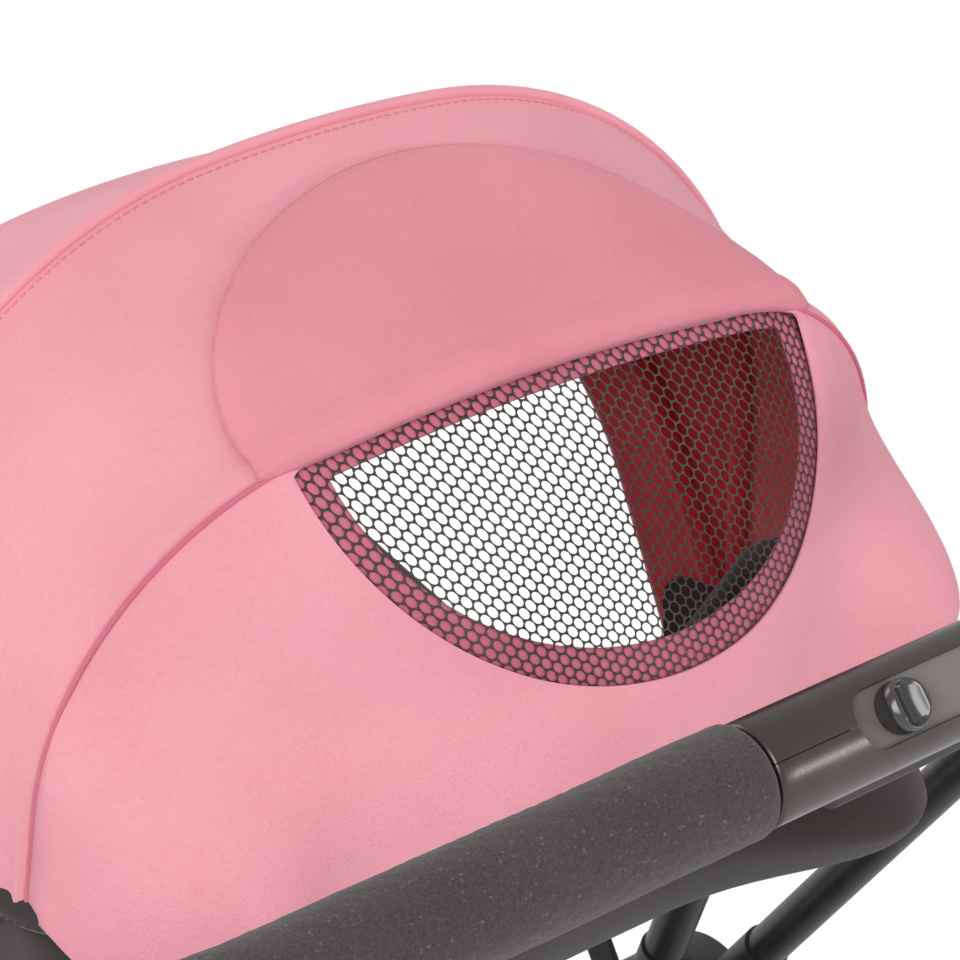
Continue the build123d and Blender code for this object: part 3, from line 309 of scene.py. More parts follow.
def grained_finish(name, pale, deep, band, rough, uneven, fine, slow, bump, **fixed):
    """A colour that changes slowly, with a fine grain. Noises are given by scale, detail and roughness."""
    look = Finish(name, **fixed)
    place = look.place()
    fine, slow = look.noise(place, *fine), look.noise(place, *slow)
    look.give("Base Color", look.mix(slow.step(*band), tone(*deep), tone(*pale)))
    look.give("Roughness", rough + (fine - 0.5) * uneven[0] + (slow - 0.5) * uneven[1])
    look.bump(fine, *bump)
    return look.material


def plastic_finish(name, pale, deep, rough, grain, coat=0.0, metallic=0.0):
    """Moulded plastic with a fine spark-eroded grain."""
    return grained_finish(
        name, pale, deep, (0.3, 0.75), rough, (0.16, 0.08), (1500.0, 2.0, 0.6), (22.0, 3.0), (grain, 0.5),
        Specular_IOR_Level=0.5, Coat_Weight=coat, Coat_Roughness=0.22, Metallic=metallic,
    )


def foam_finish():
    """Closed-cell foam with pale and dark specks."""
    look = Finish("speckled_foam", Specular_IOR_Level=0.2, Sheen_Weight=0.18, Sheen_Roughness=0.6)
    place = look.place()
    fine = look.noise(place, 1150.0, 3.0, 0.65)
    specks = look.noise(place, 820.0, 1.0, 0.4)
    slow = look.noise(place, 30.0, 2.0)
    body = look.mix((fine * 0.8 + slow * 0.2).step(0.3, 0.72), tone(53, 47, 47), tone(78, 71, 71))
    look.give("Base Color", look.mix(specks.step(0.66, 0.76), body, tone(102, 95, 94)))
    look.give("Roughness", 0.86 + (fine - 0.5) * 0.12)
    look.bump(fine + specks * 0.6, 0.28, 0.8)
    return look.material


def webbing_finish():
    """Flat woven tape with ribs along it."""
    look = Finish("webbing", Specular_IOR_Level=0.25, Sheen_Weight=0.2, Sheen_Roughness=0.5)
    flat = look.place("UV")
    along, across = look.plane(flat)
    ribs = (across * (2 * pi / 0.0019)).sine()
    picks = (along * (2 * pi / 0.0012)).sine()
    fine = look.noise(flat, 640.0, 3.0, 0.6)
    share = fine * 0.7 + ribs * 0.15 + 0.15
    look.give("Base Color", look.mix(share.step(0.2, 0.8), tone(34, 31, 31), tone(62, 57, 56)))
    look.give("Roughness", 0.74 + fine * 0.16)
    look.bump(ribs * 0.6 + picks * 0.25 + fine * 0.3, 0.3, 0.7)
    return look.material


PINK = cloth_finish("pink_cloth", (246, 171, 183), (235, 153, 167))
# A copy of the pink cloth for the rear panel, set apart to paint the light on that panel; its tones are now
# almost those of the pink cloth.
PAINTED_LIGHT_REAR_PINK = cloth_finish("rear_cloth", (247, 170, 183), (236, 153, 167))
# The flap's cloth is the same pink painted deeper: painted shade of the turned-up flap.
PAINTED_SHADE_FLAP_PINK = cloth_finish("flap_cloth", (238, 153, 167), (227, 136, 151))
# The facing's deeper pink is painted shade of the net and the panel edge over the strip; the hoop's piping
# takes it too, as a painted shade line at the seam.
PAINTED_SHADE_FACING = cloth_finish("facing_cloth", (222, 124, 146), (205, 106, 130), 0.1)
# The canopy cloth's inner side and the bow sleeves: the same pink painted deep red, as painted shade inside the
# canopy and painted light shining through the cloth.
PAINTED_SHADE_LINING = cloth_finish("pink_lining", (228, 64, 76), (200, 50, 61), 0.1)
CHARCOAL = cloth_finish("charcoal_cloth", (66, 59, 58), (48, 42, 41), 0.22, 0.9, 0.6, 0.6)
PAD_CLOTH = cloth_finish("pad_cloth", (98, 92, 92), (78, 72, 72), 0.3, 1.2, 0.6, 0.9)
NET = plastic_finish("net_yarn", (84, 77, 71), (58, 52, 48), 0.62, 0.05)
FOAM = foam_finish()
HOUSING = plastic_finish("housing_plastic", (92, 87, 84), (80, 75, 73), 0.3, 0.01, 0.0, 0.75)
KNOB = plastic_finish("knob_plastic", (60, 57, 56), (50, 47, 46), 0.22, 0.006, 0.6)
# The recess floor's paler grey than the housing is painted light on the floor of the recess.
PAINTED_LIGHT_RECESS = plastic_finish("recess_plastic", (122, 118, 115), (112, 108, 105), 0.5, 0.02)
SLIDER = plastic_finish("slider_plastic", (88, 84, 82), (76, 72, 70), 0.3, 0.012, 0.25)
DARK_PLASTIC = plastic_finish("frame_plastic", (62, 58, 57), (50, 46, 45), 0.48, 0.05)
RIM_PLASTIC = plastic_finish("rim_plastic", (118, 115, 114), (100, 97, 96), 0.42, 0.04)
BOARD = plastic_finish("board_plastic", (92, 88, 88), (80, 76, 76), 0.6, 0.06)
STEEL = grained_finish(
    "plain_steel", (196, 196, 198), (168, 168, 170), (0.25, 0.8), 0.3, (0.18, 0.0), (420.0, 4.0, 0.7),
    (26.0, 2.0), (0.03, 0.35), Metallic=1.0,
)
TUBE = grained_finish(
    "powder_coat", (66, 63, 63), (48, 46, 46), (0.3, 0.75), 0.4, (0.2, 0.12), (900.0, 2.0, 0.5),
    (18.0, 3.0), (0.05, 0.5), Specular_IOR_Level=0.5, Metallic=0.25,
)
TYRE = grained_finish(
    "tyre_foam", (58, 56, 54), (36, 35, 35), (0.45, 0.8), 0.8, (0.16, 0.0), (700.0, 3.0, 0.6),
    (45.0, 4.0, 0.6), (0.18, 0.6), Specular_IOR_Level=0.25,
)
WEBBING = webbing_finish()
PINK_THREAD = plastic_finish("pink_thread", (232, 150, 163), (218, 132, 147), 0.6, 0.02)
DARK_THREAD = plastic_finish("dark_thread", (70, 64, 62), (52, 47, 46), 0.6, 0.02)

# Finishes of the model's own nodes. All others are dark plastic.
CAD_FINISHES = {
    stem: finish for finish, stems in (
        (TUBE, "front_leg front_cross_tube rear_leg handle_tube rim_strut rim_frame"),
        (TUBE, "rear_hoop top_bow front_bow"),
        (STEEL, "caster_axle rear_axle canopy_pin"), (SLIDER, "hub_pin brake_pedal"), (BOARD, "floor_board"),
        (TYRE, "front_tyre rear_tyre"), (RIM_PLASTIC, "front_rim rear_rim"),
    ) for stem in stems.split()
}
for node_name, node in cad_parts.items():
    stem = node_name.removesuffix("_left").removesuffix("_right")
    node.data.materials.clear()
    node.data.materials.append(CAD_FINISHES.get(stem, DARK_PLASTIC))


def new_object(name, mesh, *finishes):
    made = bpy.data.objects.new(name, mesh)
    bpy.context.scene.collection.objects.link(made)
    for finish in finishes:
        mesh.materials.append(finish)
    return made


def attach(made, body, slot, *nodes):
    """Ride a body in place of the model's nodes that are named. The slot is not used."""
    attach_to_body(made, body)
    for node in nodes:
        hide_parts(node)
    return made


def bake(made):
    """The object's modifiers, applied."""
    seen = made.evaluated_get(bpy.context.evaluated_depsgraph_get())
    mesh = bpy.data.meshes.new_from_object(seen)
    made.modifiers.clear()
    made.data = mesh
    mesh.name = made.name
    return made


def modified(made, kind, **settings):
    """The object with one modifier, applied."""
    added = made.modifiers.new(kind.lower(), kind)
    for key, value in settings.items():
        setattr(added, key, value)
    return bake(made)


def smooth(mesh, angle=None):
    mesh.polygons.foreach_set("use_smooth", [True] * len(mesh.polygons))
    if angle is not None:
        mesh.set_sharp_from_angle(angle=radians(angle))


def spots_of(mesh):
    spots = np.zeros(len(mesh.vertices) * 3)
    mesh.vertices.foreach_get("co", spots)
    return spots.reshape(-1, 3)


def set_spots(mesh, spots):
    mesh.vertices.foreach_set("co", spots.ravel())
    mesh.update()


@contextmanager
def reshaped(mesh):
    """A mesh opened for editing, and written back."""
    shape = bmesh.new()
    shape.from_mesh(mesh)
    yield shape
    shape.to_mesh(mesh)
    shape.free()


def weld(shape):
    bmesh.ops.remove_doubles(shape, verts=shape.verts, dist=1e-6)
    bmesh.ops.recalc_face_normals(shape, faces=shape.faces)


def ring_mesh(name, rings, caps=0, flip=False, welded=False, matrix=None):
    """Quads from ring to ring, with a flat cap on the first ring, or on the first and the last."""
    shape = bmesh.new()
    rows = [[shape.verts.new([value * MM for value in spot]) for spot in ring] for ring in rings]
    if caps == 2:
        shape.faces.new(rows[0][::-1])
        shape.faces.new(rows[-1])
    for low, high in zip(rows, rows[1:]):
        for a, b, c, d in zip(low, low[1:] + low[:1], high[1:] + high[:1], high):
            shape.faces.new((a, d, c, b) if flip else (a, b, c, d))
    if caps == 1:
        shape.faces.new(rows[0][::-1])
    if welded:
        weld(shape)
    if matrix:
        shape.transform(matrix)
    mesh = bpy.data.meshes.new(name)
    shape.to_mesh(mesh)
    shape.free()
    return mesh


def closed_rows(points):
    """Rows that end with their first point again."""
    return np.concatenate([points, points[:, :1]], axis=1)


def spans(points, axis):
    return np.linalg.norm(np.diff(points, axis=axis), axis=2)


def sheet_mesh(name, points, flip=False, wrap=False, plan=False):
    """Quads over rows of points, with a map in metres of cloth, as unrolled or as seen from behind."""
    rows, columns = points.shape[:2]
    index = np.arange(rows * columns).reshape(rows, columns)
    laid = points
    if wrap:
        index, laid = closed_rows(index), closed_rows(points)
    if plan:
        run, climb = laid[..., 0], laid[..., 2]
    else:
        run = np.hstack([np.zeros((rows, 1)), spans(laid, 1).cumsum(axis=1)])
        run -= run[:, [run.shape[1] // 2]]
        climb = np.vstack([np.zeros((1, laid.shape[1])), spans(laid, 0).cumsum(axis=0)])
    first, last = slice(0, -1), slice(1, None)
    corners = [(first, first), (first, last), (last, last), (last, first)]
    if flip:
        corners.reverse()
    faces = np.stack([index[c] for c in corners], -1).reshape(-1, 4)
    flat = np.stack([np.stack([run[c], climb[c]], -1) for c in corners], -2).reshape(-1, 2) * MM
    mesh = bpy.data.meshes.new(name)
    mesh.from_pydata((points.reshape(-1, 3) * MM).tolist(), [], faces.tolist())
    mesh.uv_layers.new(name="cloth").data.foreach_set("uv", flat.ravel())
    smooth(mesh)
    return mesh


def cloth_piece(name, points, thickness, *finishes, **laid):
    """A sheet over rows of points, with its thickness and, where a second finish is given, that finish on the
    inner side.
    """
    made = new_object(name, sheet_mesh(name, points, **laid), *finishes)
    inner_finish_offset = int(finishes[0] != finishes[-1])
    return modified(made, "SOLIDIFY", thickness=thickness * MM, offset=-1.0, material_offset=inner_finish_offset)


def line_mesh(name, points, closed):
    """A run of points joined by edges, for a path."""
    count = len(points)
    edges = [(i, i + 1) for i in range(count - 1)]
    if closed:
        edges.append((count - 1, 0))
    mesh = bpy.data.meshes.new(name)
    mesh.from_pydata((np.asarray(points) * MM).tolist(), edges, [])
    return mesh


def ripple(points, length, seed, waves=7):
    """Smooth folds of about this length, from -1 to 1, the same each run."""
    draw = np.random.default_rng(seed)
    total = np.zeros(points.shape[:-1])
    for _ in range(waves):
        way = draw.normal(size=3)
        way *= 2 * pi / (length * draw.uniform(0.7, 1.5)) / np.linalg.norm(way)
        total += np.sin(points @ way + draw.uniform(0, 2 * pi))
    return total / waves * 1.6


def circle(count):
    return np.linspace(0, 2 * pi, count, endpoint=False)


def unit(way):
    return way / np.linalg.norm(way, axis=-1, keepdims=True)


def eased(value, low, high):
    """A share from 0 to 1 between two values, smooth at both ends."""
    share = np.clip((value - low) / (high - low), 0, 1)
    return share * share * (3 - 2 * share)


def normals(points, outward):
    """Unit normals of a grid of points, on the side away from the given middle."""
    way = np.cross(np.gradient(points, axis=1), np.gradient(points, axis=0))
    way /= np.maximum(np.linalg.norm(way, axis=2, keepdims=True), 1e-9)
    facing = np.sum(way * (points - np.asarray(outward, float)), axis=2, keepdims=True)
    return way * np.where(facing < 0, -1.0, 1.0)


def tree_with(name, **inputs):
    """A Geometry Nodes tree and the wires of its named inputs."""
    tree = bpy.data.node_groups.new(name, "GeometryNodeTree")
    for label, kind in {"Geometry": "Geometry", **inputs}.items():
        tree.interface.new_socket(label, in_out="INPUT", socket_type="NodeSocket" + kind)
    tree.interface.new_socket("Geometry", in_out="OUTPUT", socket_type="NodeSocketGeometry")
    graph = Graph(tree)
    given = graph.node("NodeGroupInput")
    return graph, {label: given.other(label) for label in ("Geometry", *inputs)}


def end_tree(graph, given, shape):
    real = graph.node("GeometryNodeRealizeInstances", {"Geometry": shape})
    even = graph.node("GeometryNodeSetShadeSmooth", {0: real})
    done = graph.node("GeometryNodeSetMaterial", {"Geometry": even, "Material": given["Finish"]})
    graph.node("NodeGroupOutput", {"Geometry": done})
    return graph.tree


def piping_tree():
    """A round cord along a path."""
    graph, given = tree_with("piping", Radius="Float", Sides="Int", Finish="Material")
    path = graph.node("GeometryNodeMeshToCurve", {"Mesh": given["Geometry"]})
    ring = graph.node(
        "GeometryNodeCurvePrimitiveCircle", {"Resolution": given["Sides"], "Radius": given["Radius"]}
    )
    tube = graph.node("GeometryNodeCurveToMesh", {"Curve": path, "Profile Curve": ring, "Fill Caps": True})
    return end_tree(graph, given, tube)


def stitch_tree():
    """Short thread stitches at an even pitch along a path."""
    graph, given = tree_with("stitches", Pitch="Float", Length="Float", Thread="Float", Finish="Material")
    path = graph.node("GeometryNodeMeshToCurve", {"Mesh": given["Geometry"]})
    even = graph.node(
        "GeometryNodeResampleCurve", {"Curve": path, "Length": given["Pitch"]}, mode="LENGTH"
    )
    ball = graph.node("GeometryNodeMeshUVSphere", {"Segments": 6, "Rings": 5, "Radius": 0.5})
    size = graph.node(
        "ShaderNodeCombineXYZ", {0: given["Length"], 1: given["Thread"], 2: given["Thread"]}
    )
    stitch = graph.node("GeometryNodeTransform", {"Geometry": ball, "Scale": size})
    tangent = graph.node("GeometryNodeInputTangent")
    turn = graph.node("FunctionNodeAlignRotationToVector", {"Vector": tangent}, axis="X")
    row = graph.node("GeometryNodeInstanceOnPoints", {"Points": even, "Instance": stitch, "Rotation": turn})
    return end_tree(graph, given, row)


def net_tree():
    """Net loops in offset rows, kept where they lie over the window's outline."""
    graph, given = tree_with(
        "net", Loop="Object", Pitch="Float", Row="Float", Columns="Int", Rows="Int", Middle="Vector",
        Finish="Material",
    )
    pitch, row, columns, rows = (given[label] for label in ("Pitch", "Row", "Columns", "Rows"))
    lattice = graph.node(
        "GeometryNodeMeshGrid", {0: pitch * (columns - 1), 1: row * (rows - 1), 2: columns, 3: rows}
    )
    spot = graph.node("GeometryNodeInputPosition")
    height = graph.node("ShaderNodeSeparateXYZ", {0: spot}).other("Y")
    place = height / row + rows * 2 + 0.25
    count = place.maths("ROUND", place)
    odd = count.maths("MODULO", count, 2.0)
    shift = graph.node("ShaderNodeCombineXYZ", {0: odd * pitch * 0.5})
    set_rows = graph.node("GeometryNodeSetPosition", {"Geometry": lattice, "Offset": shift})
    centred = graph.node("GeometryNodeTransform", {"Geometry": set_rows, "Translation": given["Middle"]})
    hit = graph.node(
        "GeometryNodeRaycast",
        {"Target Geometry": given["Geometry"], "Ray Direction": (0.0, 0.0, -1.0), "Ray Length": 1.0},
    ).other("Is Hit")
    outside = graph.node("FunctionNodeBooleanMath", {0: hit}, operation="NOT")
    kept = graph.node("GeometryNodeDeleteGeometry", {"Geometry": centred, "Selection": outside})
    loop = graph.node("GeometryNodeObjectInfo", {"Object": given["Loop"]}).other("Geometry")
    laid = graph.node("GeometryNodeInstanceOnPoints", {"Points": kept, "Instance": loop})
    real = graph.node("GeometryNodeRealizeInstances", {"Geometry": laid})
    knitted = graph.node("GeometryNodeMergeByDistance", {"Geometry": real, "Distance": 0.00002})
    return end_tree(graph, given, knitted)


PIPING = piping_tree()
STITCHES = stitch_tree()


def grow(name, carrier, tree, **values):
    """The plain mesh that a tree makes from a carrier mesh."""
    holder = new_object(name + "_path", carrier)
    added = holder.modifiers.new("grow", "NODES")
    added.node_group = tree
    for item in tree.interface.items_tree:
        if item.in_out == "INPUT" and item.name in values:
            added[item.identifier] = values[item.name]
    mesh = bake(holder).data
    bpy.data.objects.remove(holder)
    mesh.name = name
    return new_object(name, mesh)


def piping(name, points, radius, finish, closed=False, sides=12):
    return grow(name, line_mesh(name, points, closed), PIPING, Radius=radius * MM, Sides=sides, Finish=finish)


def stitching(name, points, finish, closed=False, pitch=3.6, length=2.7, thread=0.62):
    return grow(
        name, line_mesh(name, points, closed), STITCHES,
        Pitch=pitch * MM, Length=length * MM, Thread=thread * MM, Finish=finish,
    )


def arch(half_w, top, crown_r, corner_r, foot, steps=(18, 30, 44)):
    """A bow's outline from its left foot over the crown to its right foot, as x and height."""
    middle = top - crown_r
    leg_top = middle + sqrt((crown_r - corner_r) ** 2 - (half_w - corner_r) ** 2)
    turn = atan2(half_w - corner_r, leg_top - middle)
    legs, corners, crown = steps
    over = np.linspace(0, turn, crown + 1)
    round_ = np.linspace(turn, pi / 2, corners + 1)[1:]
    down = np.linspace(leg_top, foot, legs + 1)[1:]
    x = np.concatenate([
        crown_r * np.sin(over), half_w - corner_r + corner_r * np.sin(round_), np.full(legs, half_w)
    ])
    height = np.concatenate([middle + crown_r * np.cos(over), leg_top + corner_r * np.cos(round_), down])
    right = np.stack([x, height], -1)
    return np.vstack([right[:0:-1] * (-1, 1), right])


def lowered(outline, drop):
    """The same bow's outline, this far inside."""
    half_w, top, crown_r, corner_r = outline
    return half_w - drop, top - drop, crown_r - drop, corner_r - drop


def on_hoop(flat, back=0.0):
    return np.stack([flat[:, 0], HOOP_Y - back + HOOP_LEAN * (HOOP[1] - flat[:, 1]), flat[:, 1]], -1)


def on_bow(flat, lean, shift=0.0):
    u, v = sin(radians(lean)), cos(radians(lean))
    return np.stack([
        flat[:, 0], PIVOT[0] + shift * v - flat[:, 1] * u, PIVOT[1] + shift * u + flat[:, 1] * v
    ], -1)


CANOPY_MIDDLE = (0.0, -40.0, 850.0)
hoop_line = on_hoop(arch(*HOOP, CORNER_HEM_Z))
top_line = on_bow(arch(*TOP_BOW, SIDE_HEM), TOP_LEAN)
front_line = on_bow(arch(*FRONT_BOW, SIDE_HEM), FRONT_LEAN)
visor_line = on_bow(arch(*VISOR_EDGE, SIDE_HEM), FRONT_LEAN, VISOR_L)


def stretched(first, last, rows, sag, fold, seed):
    """Cloth stretched from one bow to the next: drawn in between them, with slight folds."""
    share = np.linspace(0, 1, rows)[:, None, None]
    points = first[None] * (1 - share) + last[None] * share
    out = normals(points, CANOPY_MIDDLE)
    hang = np.sin(pi * share[..., 0])
    lift = -sag * hang + fold * hang ** 0.7 * ripple(points, 120.0, seed)
    lift = lift + 0.25 * ripple(points, 26.0, seed + 1) * hang
    return points + out * lift[..., None]


# Middle panel, from the rear hoop's seam to the top bow
middle_points = stretched(hoop_line, top_line, 60, 3.0, 1.3, 11)
seam_away = np.linalg.norm(middle_points - middle_points[:1], axis=2)
ridge = HOOP_RIDGE[0] * np.exp(-((seam_away - HOOP_RIDGE[1]) / HOOP_RIDGE[2]) ** 2)
middle_points = middle_points + normals(middle_points, CANOPY_MIDDLE) * ridge[..., None]
middle_panel = cloth_piece("canopy_middle_panel", middle_points, CLOTH_T, PINK, PAINTED_SHADE_LINING)
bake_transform(middle_panel)
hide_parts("middle_panel")

# Front panel, a fan from the top bow over the front bow to the visor's edge
front_points = np.concatenate([
    stretched(top_line, front_line, 44, 2.0, 1.5, 23)[:-1], stretched(front_line, visor_line, 14, 0.6, 0.8, 24)
])
front_panel = cloth_piece("canopy_front_panel", front_points, CLOTH_T, PINK, PAINTED_SHADE_LINING)
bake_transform(front_panel)
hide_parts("front_panel")


# Rear panel, bulging backwards round the net window
def closed_arch():
    """The rear panel's outline, with rounded lower corners."""
    turn = np.linspace(0, pi / 2, 20)[1:]
    right = np.stack([
        HOOP[0] - PANEL_CORNER_R * (1 - np.cos(turn)), PANEL_FOOT_Z + PANEL_CORNER_R * (1 - np.sin(turn))
    ], -1)
    hem = np.stack([np.linspace(right[-1, 0], -right[-1, 0], 60)[1:-1], np.full(58, PANEL_FOOT_Z)], -1)
    side = arch(*HOOP, PANEL_FOOT_Z + PANEL_CORNER_R)
    return np.vstack([side, right, hem, right[::-1] * (-1, 1)])


HOOP_CROWN = arch(*HOOP, CORNER_HEM_Z)[18:-18]


def seam_height(x):
    """Height of the rear hoop's seam over a point of the panel."""
    return np.interp(x, HOOP_CROWN[:, 0], HOOP_CROWN[:, 1])


def window_outline(inset):
    """The window, this far inside its edge: round below, with a top edge beside the hoop's seam."""
    middle, half_w, height, square = WINDOW
    turn = np.linspace(0, pi, 100)
    across = np.sign(np.cos(turn)) * np.abs(np.cos(turn)) ** (2 / square)
    x = middle - (half_w - inset) * across
    drop = (height - 1.5 * inset) * np.abs(np.sin(turn)) ** (2 / square)
    back = np.linspace(x[-1], x[0], 80)[1:-1]
    top = -SEAM_GAP - inset / 2
    return np.vstack([
        np.stack([x, seam_height(x) + top - drop], -1), np.stack([back, seam_height(back) + top], -1)
    ])


def reach_of(outline, middle):
    """How far an outline lies from a middle, by angle."""
    away = outline - np.array(middle)
    ahead = np.roll(away, -1, 0) - away
    dense = np.concatenate([away + ahead * s for s in np.linspace(0, 1, 8, endpoint=False)])
    angle = np.arctan2(dense[:, 1], dense[:, 0])
    order = np.argsort(angle)
    return angle[order], np.linalg.norm(dense, axis=1)[order]


BULGE_REACH = reach_of(arch(*HOOP, BULGE_MIDDLE[1] - 333.0, (90, 30, 44)), BULGE_MIDDLE)


def at_angle(reach, angle):
    return np.interp(angle, *reach, period=2 * pi)


def rear_skin(x, z):
    """How far back the rear panel's skin stands at a point, fuller at its lower sides."""
    dx, dz = x - BULGE_MIDDLE[0], z - BULGE_MIDDLE[1]
    share = np.hypot(dx, dz) / at_angle(BULGE_REACH, np.arctan2(dz, dx))
    bulge = PANEL_BULGE * np.clip(1 - share ** 2, 0, 1) ** PANEL_FULL
    reach, square, steep = FLARE_FULL
    flare = reach * np.clip(1 - share ** square, 0, 1) ** steep
    low_side = eased(np.abs(x), *FLARE_X) * (1 - eased(z, *FLARE_Z))
    full = bulge * (1 - low_side) + flare * low_side
    full = np.minimum(full, TUCK_REACH) + np.maximum(full - TUCK_REACH, 0) * eased(z, *TUCK_Z)
    return HOOP_Y + HOOP_LEAN * (HOOP[1] - z) - full


angles = np.linspace(-pi, pi, 321)[:-1]
ring_middle = (WINDOW[0], seam_height(WINDOW[0]) - WINDOW[2] / 2)
outer_r = at_angle(reach_of(closed_arch(), ring_middle), angles)
hole_r = at_angle(reach_of(window_outline(0.0), ring_middle), angles)
ring_share = 0.5 - 0.5 * np.cos(np.linspace(0, pi, 40))
radius = hole_r[None] + (outer_r - hole_r)[None] * ring_share[:, None]
rear_x = ring_middle[0] + radius * np.cos(angles)
rear_z = ring_middle[1] + radius * np.sin(angles)
rear_points = np.stack([rear_x, rear_skin(rear_x, rear_z), rear_z], -1)
calm = np.clip((1 - ring_share) * 3, 0, 1) * np.clip(ring_share * 6, 0, 1)
creases = ripple(rear_points, 110.0, 37) * 1.5 + ripple(rear_points, 24.0, 38) * 0.2
rear_points[..., 1] += creases * calm[:, None]
BEHIND = {"flip": True, "wrap": True, "plan": True}
rear_panel = cloth_piece("canopy_rear_panel", rear_points, CLOTH_T, PAINTED_LIGHT_REAR_PINK, PAINTED_SHADE_LINING, **BEHIND)
attach(rear_panel, "chassis", "pink_fabric", "rear_panel")


# Net, loop by loop, then laid over the bulging panel
def net_loop():
    """One loop of the net: a rounded hole inside a six-sided cell, with a ridge along its strands."""
    tip = (NET_PITCH ** 2 / 4 + NET_ROW ** 2) / 2
    flat = (tip - NET_ROW ** 2) / (NET_PITCH / 2)
    side = tip / (NET_PITCH / 2)
    cell = [(flat, NET_ROW), (-flat, NET_ROW), (-side, 0), (-flat, -NET_ROW), (flat, -NET_ROW), (side, 0)]
    edge = []
    for here, there in zip(cell, cell[1:] + cell[:1]):
        edge += [here, ((here[0] + there[0]) / 2, (here[1] + there[1]) / 2)]
    turns = [atan2(y, x) for x, y in edge]
    hole = [(side * NET_HOLE[0] * cos(turn), NET_ROW * NET_HOLE[1] * sin(turn)) for turn in turns]
    rings = ((edge, NET_STRAND), (hole, 0.0), (edge, -NET_STRAND))
    return ring_mesh("net_loop", [[(x, y, height) for x, y in ring] for ring, height in rings], flip=True)


loop_object = new_object("net_loop", net_loop())
outline = window_outline(-NET_LAP)
net_middle = (outline.min(0) + outline.max(0)) / 2
relaxed = (outline - net_middle) @ np.linalg.inv(NET_LAY).T
window_face = bpy.data.meshes.new("window_face")
window_face.from_pydata(
    [(x * MM, z * MM, -0.001) for x, z in relaxed], [], [list(range(len(relaxed)))]
)
(net_left, net_foot), (net_right, net_top) = relaxed.min(0), relaxed.max(0)
window_net = grow(
    "window_net_knit", window_face, net_tree(), Loop=loop_object, Pitch=NET_PITCH * MM, Row=NET_ROW * MM,
    Columns=int((net_right - net_left) / NET_PITCH) + 4, Rows=int((net_top - net_foot) / NET_ROW) + 4,
    Middle=((net_left + net_right) / 2 * MM, (net_top + net_foot) / 2 * MM, 0.0), Finish=NET,
)
bpy.data.objects.remove(loop_object)
knit = spots_of(window_net.data) / MM
knit[:, :2] = knit[:, :2] @ NET_LAY.T + net_middle
knit[:, 1] = np.minimum(knit[:, 1], seam_height(knit[:, 0]) - SEAM_GAP / 2)
knit_y = rear_skin(knit[:, 0], knit[:, 1]) + NET_DEPTH - knit[:, 2]
window_net.data.flip_normals()
set_spots(window_net.data, np.stack([knit[:, 0], knit_y, knit[:, 1]], -1) * MM)
attach(window_net, "chassis", "net", "window_net")


# Facing: a strip of the pink cloth that backs the net's edge, in a deeper pink that is painted shade
def facing_row(inset):
    x, z = window_outline(inset).T
    return np.stack([x, rear_skin(x, z) + NET_DEPTH + 2 * NET_STRAND, z], -1)


facing_points = np.stack([facing_row(inset) for inset in np.linspace(FACING_W, -FACING_LAP, 9)])
facing = cloth_piece("window_facing", facing_points, FACING_T, PAINTED_SHADE_FACING, PAINTED_SHADE_LINING, **BEHIND)
attach(facing, "chassis", "pink_fabric")

# Own copies of the meshes of the rear panel, the net and the facing
for pressed, deeper in ((rear_panel, 0.0), (window_net, 10.0), (facing, 10.0)):
    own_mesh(pressed)


# Pipings, sleeves, rod and stitches of the canopy
def canopy_trim(name, body, path, radius, finish, sides=16):
    return attach(piping(name, path, radius, finish, sides=sides), body, "pink_fabric")


hoop_edge = on_hoop(arch(*lowered(HOOP, 0.2), CORNER_HEM_Z), 0.4)
# The hoop's piping is drawn in the facing's deeper pink, a painted shade line along the seam.
hoop_piping = canopy_trim("hoop_piping", "chassis", hoop_edge, 0.9, PAINTED_SHADE_FACING, 12)
top_edge = on_bow(arch(*lowered(TOP_BOW, -0.3), SIDE_HEM), TOP_LEAN)
top_piping = canopy_trim("top_bow_piping", "top_bow", top_edge, 2.1, PINK, 12)
visor_binding = canopy_trim("visor_binding", "front_bow", visor_line, 1.6, PINK, 12)
front_rod = on_bow(arch(*lowered(FRONT_BOW, ROD_DROP), SIDE_HEM + SLEEVE_HEM), FRONT_LEAN)
# The sleeves take the canopy's inner deep red, painted shade inside the canopy.
canopy_trim("front_bow_sleeve", "front_bow", front_rod, ROD_R + 0.9, PAINTED_SHADE_LINING)
top_rod = on_bow(arch(*lowered(TOP_BOW, ROD_DROP), SIDE_HEM + SLEEVE_HEM), TOP_LEAN)
canopy_trim("top_bow_sleeve", "top_bow", top_rod, ROD_R + 1.1, PAINTED_SHADE_LINING)
hoop_cover = on_hoop(arch(*lowered(HOOP, ROD_DROP), CORNER_HEM_Z + SLEEVE_HEM), -ROD_DROP)
canopy_trim("rear_hoop_sleeve", "chassis", hoop_cover, ROD_R + 1.1, PAINTED_SHADE_LINING)
hoop_path = on_hoop(arch(*lowered(HOOP, ROD_DROP), HOOP_FOOT_Z), -ROD_DROP)
attach(piping("rear_hoop_rod", hoop_path, ROD_R, TUBE, sides=16), "chassis", "frame_tube", "rear_hoop")
stitch_path = middle_points[-3] + normals(middle_points, CANOPY_MIDDLE)[-3] * 0.15
top_stitches = attach(stitching("top_bow_stitches", stitch_path, PINK_THREAD), "top_bow", "pink_fabric")


